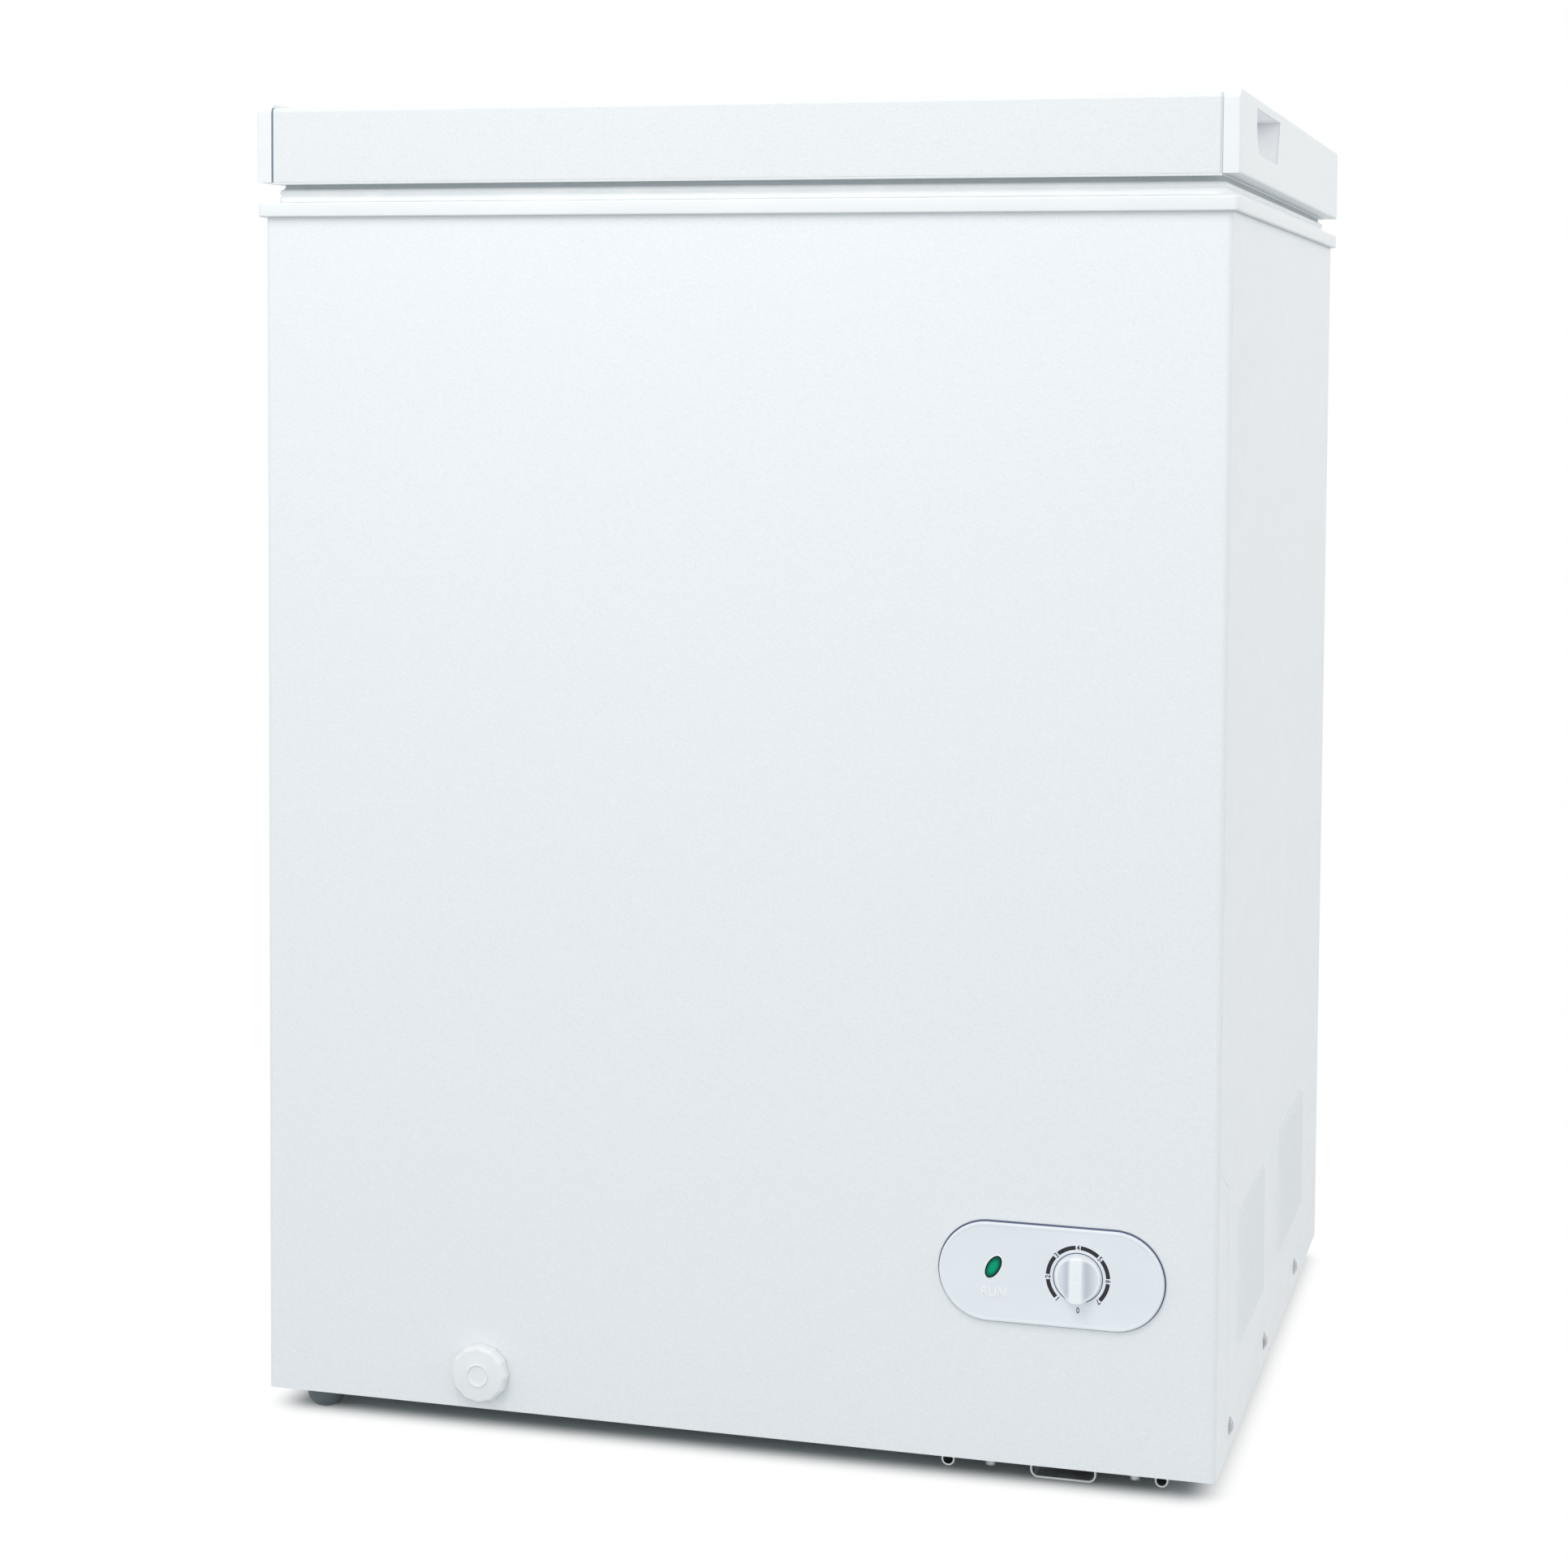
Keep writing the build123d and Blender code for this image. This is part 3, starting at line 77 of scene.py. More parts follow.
def centre_of(name):
    """The middle of a node's box and its size."""
    low, high = box_of(name)
    return (low + high) / 2, high - low


def add_object(name, data):
    """A new object for this data, linked to the scene."""
    made = bpy.data.objects.new(name, data)
    bpy.context.scene.collection.objects.link(made)
    return made

# %% [markdown]
# ## Camera
# The freezer stands as in a shop view: the camera is at lid height, a little to the right, and looks
# slightly down. A long lens keeps the upright edges nearly parallel. The lens is moved up in its mount
# (the shift), as product cameras do, so that those edges don't lean inwards.

# %% Camera
def stand(thing, place, right, up):
    """Place a camera or lamp: the columns of its matrix are right, up, backwards and the place."""
    matrix = np.eye(4)
    matrix[:3] = np.stack([right, up, np.cross(right, up), place], -1)
    thing.matrix_world = Matrix(matrix.tolist())


lens = bpy.data.cameras.new("camera")
lens.lens, lens.sensor_width = 69.72, 36.0
lens.shift_x, lens.shift_y = -0.02503, -0.1572
lens.clip_end = 100.0
camera = add_object("camera", lens)
stand(
    camera,
    place=(0.55248, -2.07515, 0.68383),
    right=(0.96449198, 0.2640182, 0.00704299),
    up=(-0.02149382, 0.0518856, 0.9984217),
)
bpy.context.scene.camera = camera
print("camera", [round(c, 3) for c in camera.location])

# %% [markdown]
# ## Helpers for materials
# Each finish is a node tree. Small helpers add a node and fill its sockets, so that a finish reads from
# top to bottom: what the pattern is, and what it changes on the shader. Numbers that are the same all over
# a piece go straight on the shader.

# %% Material helpers
def put(owner, kind, inputs=(), **settings):
    """Add a node of this kind; inputs are (input, socket or value) pairs, settings are its own choices."""
    node = owner.node_tree.nodes.new(kind)
    for key, value in settings.items():
        setattr(node, key, value)
    for key, source in inputs:
        if isinstance(source, bpy.types.NodeSocket):
            owner.node_tree.links.new(source, node.inputs[key])
        else:
            node.inputs[key].default_value = source
    return node


def shader_socket(material, name):
    """One socket of the material's shader."""
    return material.node_tree.nodes["Principled BSDF"].inputs[name]


def new_material(name, colour, roughness, **sockets):
    """A material with these numbers on its shader; an underscore in a socket's name stands for a space."""
    material = bpy.data.materials.new(name)
    material.use_nodes = True
    for key, value in {"Base Color": (*colour, 1.0), "Roughness": roughness, **sockets}.items():
        shader_socket(material, key.replace("_", " ")).default_value = value
    return material


def feed(material, name, source):
    """Let a pattern set one socket of the shader."""
    material.node_tree.links.new(source, shader_socket(material, name))


def linear(red, green, blue):
    """Scene-linear colour from 0..255 display values: c / 12.92 when dark, else
    ((c + 0.055) / 1.055) ** 2.4."""
    c = np.array([red, green, blue]) / 255
    return tuple(float(v) for v in np.where(c < 0.04045, c / 12.92, ((c + 0.055) / 1.055) ** 2.4))

# %% Patterns
def at_object(material, stretch=(1.0, 1.0, 1.0)):
    """Places on the piece in metres, multiplied by stretch."""
    where = put(material, "ShaderNodeTexCoord").outputs["Object"]
    return put(material, "ShaderNodeMapping", [("Vector", where), ("Scale", stretch)]).outputs["Vector"]


def noise(material, scale, detail, roughness=0.5, stretch=(1.0, 1.0, 1.0)):
    """Soft random clouds with about scale of them to the metre."""
    vector = at_object(material, stretch)
    inputs = [("Vector", vector), ("Scale", scale), ("Detail", detail), ("Roughness", roughness)]
    return put(material, "ShaderNodeTexNoise", inputs).outputs["Fac"]


def cells(material, scale, feature="F1"):
    """Irregular cells with about scale of them to the metre."""
    inputs = [("Vector", at_object(material)), ("Scale", scale)]
    return put(material, "ShaderNodeTexVoronoi", inputs, feature=feature).outputs


def between(material, factor, low, high, start=0.0, end=1.0):
    """A smooth change from low to high as factor goes from start to end."""
    inputs = [("Value", factor), ("From Min", start), ("From Max", end), ("To Min", low), ("To Max", high)]
    return put(material, "ShaderNodeMapRange", inputs, interpolation_type="SMOOTHSTEP").outputs["Result"]

# %% What a pattern changes
def tint(material, factor, low, high):
    """Let the base colour go from low to high; None for low starts from the colour that is there. The
    Mix node takes colours at its inputs 6 and 7 and gives one at output 2."""
    start = shader_socket(material, "Base Color").links[0].from_socket if low is None else (*low, 1.0)
    inputs = [(0, factor), (6, start), (7, (*high, 1.0))]
    feed(material, "Base Color", put(material, "ShaderNodeMix", inputs, data_type="RGBA").outputs[2])


def relief(material, height, depth, strength=1.0):
    """Small relief of that depth in metres, laid over the relief that is there."""
    inputs = [("Height", height), ("Strength", strength), ("Distance", depth)]
    inputs += [("Normal", link.from_socket) for link in shader_socket(material, "Normal").links]
    feed(material, "Normal", put(material, "ShaderNodeBump", inputs).outputs["Normal"])


def dress(material, names):
    """Give a material to measured nodes, named in one line with spaces between."""
    for name in names.split():
        mesh = nodes[name].data
        mesh.materials.clear()
        mesh.materials.append(material)

# %% [markdown]
# ## Painted steel
# The cabinet and the lid are thin steel sheet with white baked paint. The sheet is rolled with a fine
# leather grain, which hides dents and fingerprints. The grain is far too small to model, so it is relief
# in the finish: irregular cells a little over a millimetre wide, laid on Object coordinates so that it
# has its real size on every panel. A slow noise adds the slight waviness of thin sheet. The lid's
# sheet is painted a shade greyer than the cabinet's: painted shade, a darker copy of the same paint.

# %% Painted steel
def patches(material, scale, detail, start=0.3, end=0.7):
    """Clouds with firmer edges: 0 where the noise is below start, 1 where it is above end."""
    return between(material, noise(material, scale, detail), 0.0, 1.0, start, end)


def painted_steel(name, colour):
    """White baked paint over embossed sheet."""
    paint = new_material(name, colour, 0.42, Coat_Weight=0.12, Coat_Roughness=0.3)
    tint(paint, patches(paint, 900.0, 2.0), tuple(0.965 * c for c in colour), colour)
    feed(paint, "Roughness", between(paint, noise(paint, 60.0, 4.0), 0.36, 0.48, 0.3, 0.7))
    relief(paint, noise(paint, 5.0, 1.0), 4.0 * MM, 0.25)
    leather = cells(paint, 620.0, "SMOOTH_F1")["Distance"]
    relief(paint, between(paint, leather, 1.0, 0.0, 0.05, 0.6), 0.06 * MM)
    return paint


cabinet_paint = painted_steel("painted_steel", linear(238, 242, 245))
# Painted shade: the lid's sheet is a darker copy of the cabinet's paint.
shaded_lid_paint = painted_steel("lid_sheet_painted_shade", linear(232, 236, 238))
dress(cabinet_paint, "cabinet_wrapper")
dress(shaded_lid_paint, "lid_skin")
print(cabinet_paint.name, "on cabinet_wrapper,", shaded_lid_paint.name, "on lid_skin")

# %% [markdown]
# ## White mouldings
# The lid's end caps, the rim frame and the small fittings are injection-moulded plastic. It is a touch
# warmer and glossier than the paint, with a very fine spark-eroded texture and soft flow marks. One
# function makes them all, with another colour and gloss for each fitting.

# %% White mouldings
def moulded(name, colour, roughness=0.33, **sockets):
    """Moulded plastic: fine even texture, faint flow marks."""
    plastic = new_material(name, colour, roughness, **sockets)
    flow = noise(plastic, 1.0, 3.0, stretch=(14.0, 5.0, 22.0))
    tint(plastic, between(plastic, flow, 0.0, 1.0, 0.3, 0.7), tuple(0.97 * c for c in colour), colour)
    feed(plastic, "Roughness", between(plastic, flow, roughness - 0.04, roughness + 0.06, 0.3, 0.7))
    relief(plastic, noise(plastic, 1800.0, 2.0), 0.02 * MM)
    return plastic

# %% Mouldings on the nodes
white = linear(240, 243, 245)
white_moulding = moulded("white_moulding", white)
panel_moulding = moulded("panel_moulding", linear(236, 241, 247), 0.38)
knob_moulding = moulded("knob_moulding", linear(240, 245, 251), 0.3)
black_moulding = moulded("black_moulding", linear(34, 35, 37), 0.45)
foot_moulding = moulded("foot_moulding", linear(86, 97, 103), 0.4)
dress(white_moulding, "rim_frame lid_pan drain_cap drain_tube")
dress(panel_moulding, "control_bezel")
dress(knob_moulding, "control_knob")
dress(black_moulding, "relay_cover thermostat lamp_holder cable_gland")
dress(black_moulding, "hinge_plunger_left hinge_plunger_right")
dress(foot_moulding, "feet")
mouldings = (white_moulding, panel_moulding, knob_moulding, black_moulding, foot_moulding)
print("mouldings", [m.name for m in mouldings])

# %% [markdown]
# ## End caps of the lid
# Each end cap has a recess to lift the lid by. Its walls stand close together, throw light at each other
# and look lighter than the outside. The finish is the white moulding with a lighter colour inside a box
# round the recess: a place is inside where the largest of |x - middle| - half, taken in the three
# directions, is below 0. The caps are mirror images, so x and y are taken without their sign. At the back
# that box lies inside the cap, where nothing of it shows.

# %% Sums on patterns
def reckon(owner, operation, first, second):
    """One sum on two values."""
    return put(owner, "ShaderNodeMath", [(0, first), (1, second)], operation=operation).outputs[0]


def vector_steps(material, vector, *steps):
    """Sums on a vector, one after another: each step is an operation and what goes with it."""
    for operation, *others in steps:
        inputs = [(0, vector), *((1, other) for other in others)]
        vector = put(material, "ShaderNodeVectorMath", inputs, operation=operation).outputs["Vector"]
    return vector

# %% End caps of the lid
cap_moulding = moulded("cap_moulding", white)
recess_middle, recess_half = np.array([305.0, 151.6, 829.5]) * MM, np.array([8.8, 60.5, 15.5]) * MM
recess_fade = 0.2 * MM
outside = vector_steps(
    cap_moulding, at_object(cap_moulding),
    ("ABSOLUTE",), ("SUBTRACT", recess_middle), ("ABSOLUTE",), ("SUBTRACT", recess_half),
)
outside = put(cap_moulding, "ShaderNodeSeparateXYZ", [(0, outside)]).outputs
furthest = reckon(cap_moulding, "MAXIMUM", outside["X"], outside["Y"])
furthest = reckon(cap_moulding, "MAXIMUM", furthest, outside["Z"])
inside = between(cap_moulding, furthest, 1.0, 0.0, -recess_fade, recess_fade)
# Painted light: the recess is coloured lighter, for the light that its walls throw at each other.
tint(cap_moulding, inside, None, linear(252, 253, 255))
dress(cap_moulding, "lid_cap_left lid_cap_right")
print("grip recess from", recess_middle - recess_half, "to", recess_middle + recess_half)

# %% [markdown]
# ## Bare metals
# Galvanised sheet shows zinc crystals, the spangle: flat patches a few millimetres wide, each with its
# own brightness. Voronoi cells give exactly that, because every cell carries one random value. The tank is
# aluminium sheet embossed like orange skin, copper lines are brazed in the bay, and the hinges have a dull
# zinc plating, darker than the bright steel of pins, springs and screws.

# %% Bare metals
def galvanised(name):
    """Zinc-coated sheet: flat crystals with different tone and roughness."""
    zinc = new_material(name, linear(190, 194, 197), 0.42, Metallic=1.0)
    crystal = put(zinc, "ShaderNodeSeparateColor", [("Color", cells(zinc, 95.0)["Color"])]).outputs
    tint(zinc, crystal["Red"], linear(183, 187, 190), linear(200, 203, 205))
    feed(zinc, "Roughness", between(zinc, crystal["Green"], 0.38, 0.48))
    relief(zinc, noise(zinc, 700.0, 3.0), 0.03 * MM)
    return zinc


def stucco_aluminium(name):
    """Aluminium sheet rolled with a soft orange-skin pattern."""
    sheet = new_material(name, linear(238, 240, 242), 0.5, Metallic=0.7)
    feed(sheet, "Roughness", between(sheet, noise(sheet, 30.0, 4.0), 0.47, 0.53, 0.3, 0.7))
    relief(sheet, between(sheet, noise(sheet, 260.0, 2.0, 0.4), 0.0, 1.0, 0.35, 0.65), 0.35 * MM, 0.6)
    return sheet


def drawn_metal(name, colour, roughness, stain):
    """Plain metal tube, rod or plate: fine scratches and slight staining."""
    metal = new_material(name, colour, roughness, Metallic=1.0)
    tint(metal, patches(metal, 45.0, 4.0, 0.35), colour, stain)
    scratched = between(metal, noise(metal, 400.0, 4.0), roughness - 0.06, roughness + 0.1)
    feed(metal, "Roughness", scratched)
    relief(metal, noise(metal, 2200.0, 2.0), 0.01 * MM)
    return metal

# %% Metals on the nodes
zinc_sheet = galvanised("galvanised_steel")
tank_sheet = stucco_aluminium("tank_aluminium")
plated_steel = drawn_metal("plated_steel", linear(172, 175, 178), 0.36, linear(156, 160, 163))
copper_tube = drawn_metal("copper", linear(214, 140, 104), 0.3, linear(158, 92, 66))
bright_steel = drawn_metal("bright_steel", linear(196, 198, 200), 0.26, linear(168, 170, 172))
dress(zinc_sheet, "rear_panel bottom_panel base_plate bay_rail rear_grille condenser_coil compressor_legs")
dress(tank_sheet, "inner_tank evaporator_coil")
dress(plated_steel, "hinge_base_left hinge_base_right hinge_leaf_left hinge_leaf_right")
dress(copper_tube, "filter_drier suction_line discharge_line liquid_line capillary_tube")
dress(bright_steel, "hinge_pin_left hinge_pin_right hinge_spring_left hinge_spring_right thermostat_shaft")
dress(bright_steel, "rear_grille_screws hinge_base_screws hinge_leaf_screws compressor_bolts")
dress(bright_steel, "side_screws base_plate_screws")
print("metals", [m.name for m in (zinc_sheet, tank_sheet, plated_steel, copper_tube, bright_steel)])

# %% [markdown]
# ## Enamel, rubber, foam, lens and coated wire
# These finishes differ mostly in gloss: the compressor's enamel is thick and wet-looking, rubber is dull
# with a dusty bloom, foam is an open-celled yellow mass, the lamp's lens is clear green plastic over a lamp.

# %% Enamel, rubber, foam, lens and coated wire
def black_enamel(name):
    """Thick gloss enamel with a slight orange peel and some dust."""
    enamel = new_material(name, linear(22, 22, 24), 0.24, Coat_Weight=0.6, Coat_Roughness=0.1)
    tint(enamel, patches(enamel, 25.0, 4.0, 0.45, 0.75), linear(20, 20, 22), linear(40, 40, 41))
    relief(enamel, noise(enamel, 420.0, 2.0), 0.08 * MM, 0.6)
    return enamel


def rubber(name, colour, bloom):
    """Dull rubber or soft vinyl with a dusty bloom."""
    soft = new_material(name, colour, 0.62)
    tint(soft, patches(soft, 40.0, 4.0, 0.4, 0.75), colour, bloom)
    relief(soft, noise(soft, 1300.0, 3.0), 0.04 * MM)
    return soft


def yellow_foam(name):
    """Blown foam: small cells and uneven colour."""
    foam = new_material(name, linear(233, 214, 160), 0.9)
    tint(foam, noise(foam, 30.0, 4.0), linear(214, 188, 128), linear(240, 224, 178))
    relief(foam, cells(foam, 700.0)["Distance"], 0.3 * MM)
    return foam

# %% Enamel, rubber and the rest on the nodes
shell_enamel = black_enamel("black_enamel")
mount_rubber = rubber("black_rubber", linear(30, 30, 31), linear(52, 52, 53))
seal_vinyl = rubber("seal_vinyl", linear(246, 249, 250), linear(252, 253, 254))
wire_coat = moulded("wire_coating", linear(240, 243, 244), 0.28, Coat_Weight=0.4, Coat_Roughness=0.15)
green_lens = moulded("green_lens", linear(0, 154, 116), 0.3, Specular_IOR_Level=0.12)
dress(shell_enamel, "compressor_shell")
dress(mount_rubber, "compressor_grommets")
dress(seal_vinyl, "lid_gasket drain_plug")
dress(yellow_foam("insulation_foam"), "cabinet_foam lid_foam")
dress(wire_coat, "basket")
dress(green_lens, "lamp_lens")
print("nodes without a finish:", [name for name, node in nodes.items() if not node.data.materials])

# %% [markdown]
# ## Helpers for shapes
# A new piece is a surface worked out with numpy: a grid of points, where each row is one step along the
# shape and each column one step round it. Neighbouring points make four-sided faces. Several grids can
# go into one mesh. Merging the doubled points afterwards closes seams and poles, and the normals are then
# worked out so that they face outwards.

# %% Shape helpers
def skin(points, wrap_rows=False, wrap_columns=True):
    """Quads over a grid of points (rows, columns, 3); a wrapped side joins its last to its first."""
    rows, columns = points.shape[:2]
    i = np.arange(rows if wrap_rows else rows - 1)[:, None]
    j = np.arange(columns if wrap_columns else columns - 1)[None, :]
    next_i, next_j = (i + 1) % rows, (j + 1) % columns
    corners = [i * columns + j, i * columns + next_j, next_i * columns + next_j, next_i * columns + j]
    return points.reshape(-1, 3), np.stack(corners, -1).reshape(-1, 4)


def gather(shapes):
    """Several shapes as one: the face numbers of each are raised by the points before it."""
    starts = np.cumsum([0] + [len(points) for points, _ in shapes[:-1]])
    points = np.concatenate([points for points, _ in shapes])
    return points, np.concatenate([faces + start for (_, faces), start in zip(shapes, starts)])


def clean_mesh(mesh, reach=2e-6):
    """Merge doubled points, drop faces that collapsed and turn the normals outwards."""
    work = bmesh.new()
    work.from_mesh(mesh)
    bmesh.ops.remove_doubles(work, verts=work.verts, dist=reach)
    bmesh.ops.dissolve_degenerate(work, edges=work.edges, dist=reach)
    bmesh.ops.recalc_face_normals(work, faces=work.faces)
    work.to_mesh(mesh)
    work.free()

# %% Finished pieces
def settle(name, mesh, material, body, stands_for=()):
    """Clean a mesh and give it its finish, the body it rides on and the nodes it stands for."""
    clean_mesh(mesh)
    mesh.materials.clear()
    mesh.materials.append(material)
    made = add_object(name, mesh)
    if body:
        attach(made, body)
    if stands_for:
        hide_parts(*stands_for)
    print(name, len(mesh.polygons), "faces")
    return made


def piece(name, shape, material, body, stands_for=(), crease=32.0):
    """A piece from points and faces, smooth except where faces meet at more than the crease angle."""
    points, faces = shape
    mesh = bpy.data.meshes.new(name)
    mesh.from_pydata(points.tolist(), [], faces.tolist())
    made = settle(name, mesh, material, body, stands_for)
    mesh.shade_smooth()
    mesh.set_sharp_from_angle(angle=radians(crease))
    return made

# %% [markdown]
# ## Rim frame
# The white moulding that closes the top of the walls is one closed section carried round the cabinet: a
# short skirt outside, the flat top on which the lid's seal rests, a wall down into the mouth and a shelf
# for the basket. Every row of the grid is the same rounded rectangle at another inset and height, so the
# corners stay true all the way through. The seal, the lid's liner and the compressor are made like this
# too. A line of points is softened first, because nothing moulded has sharp corners.

# %% Rounded rings
def softened(profile, radius, steps=3, closed=True):
    """Round the corners of a line of points: each corner P becomes the curve
    (1-t)^2 A + 2t(1-t) P + t^2 B between points A and B at most radius away on its two sides."""
    profile = np.asarray(profile, float)
    before, after = np.roll(profile, 1, 0) - profile, np.roll(profile, -1, 0) - profile

    def towards(step):
        """The corner moved by radius towards a neighbour, at most nearly half way."""
        length = np.maximum(np.linalg.norm(step[:, :2], axis=1, keepdims=True), 1e-12)
        return profile + step * np.minimum(radius / length, 0.48)

    t = np.linspace(0.0, 1.0, steps + 1)[None, :, None]
    start, end = towards(before)[:, None], towards(after)[:, None]
    curve = (1 - t) ** 2 * start + 2 * t * (1 - t) * profile[:, None] + t ** 2 * end
    if not closed:
        curve[0], curve[-1] = profile[0], profile[-1]
    return curve.reshape(-1, profile.shape[1])


def round_rectangle(half_x, half_y, radius, steps=8):
    """Outline of rectangles with round corners: each corner's centre plus radius times (cos a, sin a)."""
    sizes = (np.atleast_1d(v).astype(float) for v in (half_x, half_y, radius))
    half_x, half_y, radius = (v[:, None] for v in np.broadcast_arrays(*sizes))
    a = (np.arange(4)[:, None] * pi / 2 + np.linspace(0, pi / 2, steps + 1)[None, :]).reshape(-1)
    side_x = np.repeat([1, -1, -1, 1], steps + 1)
    side_y = np.repeat([1, 1, -1, -1], steps + 1)
    return (half_x - radius) * side_x + radius * np.cos(a), (half_y - radius) * side_y + radius * np.sin(a)


def ring_stack(size, centre, inset, radius, z, steps=8):
    """Rounded rectangles one above another: the size less the inset all round, each with its own corner
    radius and height."""
    x, y = round_rectangle(size[0] / 2 - inset, size[1] / 2 - inset, radius, steps)
    return np.stack([x + centre[0], y + centre[1], np.broadcast_to(z[:, None], x.shape)], -1)

# %% Rim frame
rim_centre, rim_size = centre_of("rim_frame")
rim_low, rim_top = box_of("rim_frame")[:, 2]
shelf, skirt = rim_top - 22 * MM, rim_top - 9 * MM
mouth, tank = 62 * MM, 70 * MM
thick_rim, thick_skirt = 2.5 * MM, 3.8 * MM
section = np.array([
    (0, skirt, 4), (0, rim_top, 4), (mouth, rim_top, 3), (mouth, shelf, 3), (tank, shelf, 30),
    (tank, rim_low, 30), (mouth - thick_rim, rim_low, 3), (mouth - thick_rim, rim_top - thick_rim, 3),
    (thick_skirt, rim_top - thick_rim, 4), (thick_skirt, skirt, 4),
])
inset, z, corner = softened(section, 1.1 * MM, 4).T
rim = skin(ring_stack(rim_size, rim_centre, inset, corner * MM, z), wrap_rows=True)
piece("rim_moulding", rim, white_moulding, "cabinet", ["rim_frame"])

# %% [markdown]
# ## Lid seal
# The seal is an extruded vinyl bellows with a magnet strip in its lower bag. Seen from outside it has two
# rounded lobes with a pinch between them, and a neck set back under the lid. The section is drawn once and
# carried round the lid; real seals are welded at mitred corners, and a small corner radius gives that look.
# The lobes and the neck bulge out past the measured seal, each by its own amount. Little light reaches the
# neck, so the finish turns grey above the lobes, by height on Object coordinates: painted shade.

# %% Lid seal
seal_centre, seal_size = centre_of("lid_gasket")
seal_low, seal_high = box_of("lid_gasket")[:, 2]
outer_side = np.array([
    (-1.2, 0.0), (-2.0, 0.6), (-2.2, 1.8), (-2.1, 3.4), (-1.4, 4.3), (-0.4, 4.8), (-1.0, 5.3), (-1.7, 6.0),
    (-1.9, 7.0), (-1.5, 8.0), (-0.2, 8.7), (2.4, 9.2), (3.0, 10.4), (3.2, 12.6), (3.0, 13.66),
])
drawn_width, drawn_height, neck_from = 12.0, outer_side[-1, 1], 9.0
lobes_out, neck_out = 2.0, 3.4
inner_side = np.abs(outer_side[::-1]) * (-1, 1) + (drawn_width, 0)
outer_side[:, 0] -= np.where(outer_side[:, 1] < neck_from, lobes_out, neck_out)
inset, height = (softened(np.concatenate([outer_side, inner_side]), 0.5, 2) * MM).T
corner = np.maximum(4 * MM - inset, 0.4 * MM)
z = seal_low + height * (seal_high - seal_low) / (drawn_height * MM)
seal = skin(ring_stack(seal_size, seal_centre, inset, corner, z), wrap_rows=True)
piece("lid_seal", seal, seal_vinyl, "lid", ["lid_gasket"])

# %% Painted shade on the neck of the seal
# Painted shade: grey above the lobes, where little light reaches the neck.
up = put(seal_vinyl, "ShaderNodeSeparateXYZ", [(0, at_object(seal_vinyl))]).outputs["Z"]
neck_painted_shade = between(seal_vinyl, up, 0.0, 1.0, seal_low + 7.8 * MM, seal_low + 9.2 * MM)
tint(seal_vinyl, neck_painted_shade, None, linear(203, 209, 212))

# %% [markdown]
# ## Edges of the lid sheet
# Where the lid's sheet runs under the plastic end caps there is a narrow joint. Its shade is painted:
# closed bands round the sheet's section, a tenth of a millimetre proud of it, a painted shadow at the left
# cap and a paler painted shade at the right, though the two joints are alike. Along the front the sheet's
# lower edge is folded into a hem, a small bar under the lid. Both are outlines in the plane across the lid,
# carried straight along it.

# %% Painted shade in the joints
sheet_low, sheet_high = box_of("lid_skin")


def along_lid(sections, places):
    """Outlines (y, z) carried along x: the point (x_i, y_ij, z_ij) for each place x_i."""
    sections = np.broadcast_to(sections, (len(places), *np.shape(sections)[-2:]))
    x = np.broadcast_to(np.asarray(places, float)[:, None, None], (*sections.shape[:2], 1))
    return np.concatenate([x, sections], -1)


def round_sheet(proud):
    """The sheet's outline, proud of it all round, with its two upper corners rounded."""
    (y0, z0), (y1, z1) = sheet_low[1:] - proud, sheet_high[1:] + proud
    corners = [(y0, z0), (y1, z0), (y1, z1), (y0, z1)]
    return softened(corners, np.array([[0.2], [0.2], [3.5], [3.5]]) * MM, 6)


def joint_bead(name, x0, x1, material):
    """A closed band from x0 to x1, from inside the sheet to a tenth of a millimetre outside it."""
    inner, outer = round_sheet(-0.3 * MM), round_sheet(0.1 * MM)
    band = along_lid(np.stack([inner, outer, outer, inner]), [x0, x0, x1, x1])
    return piece(name, skin(band, wrap_rows=True), material, "lid")


# Painted shade: a dark blue-grey band at the left cap, a pale grey one at the right.
left_joint_shade = moulded("joint_bead", linear(112, 130, 148), 0.5)
right_joint_shade = moulded("pale_painted_joint_shade", linear(208, 218, 224), 0.5)
joint_bead("lid_joint_left", sheet_low[0], sheet_low[0] + 0.9 * MM, left_joint_shade)
joint_bead("lid_joint_right", sheet_high[0] - 1.7 * MM, sheet_high[0], right_joint_shade)

# %% Hem of the lid sheet
hem_round, hem_end = 0.5 * MM, 0.2 * MM
front, back = sheet_low[1], sheet_low[1] + 1.4 * MM
lapped, hanging = sheet_low[2] + 0.6 * MM, sheet_low[2] - 1.6 * MM
fold = softened([(front, lapped), (front, hanging), (back, hanging), (back, lapped)], hem_round)
middle = np.broadcast_to(fold.mean(0), fold.shape)
x0, x1 = sheet_low[0] + hem_end, sheet_high[0] - hem_end
hem = along_lid(np.stack([middle, fold, fold, middle]), [x0, x0, x1, x1])
piece("lid_hem", skin(hem), shaded_lid_paint, "lid")

# %% [markdown]
# ## Inner pan of the lid
# When the lid is open its underside shows a vacuum-formed liner: a flat border on which the seal sits, a
# drawn-down middle with generous radii and a shallow raised field, low enough to keep clear of the foam.
# It is one sheet, so it is modelled as one surface from the edge to the middle, and a Solidify modifier
# gives it its wall.

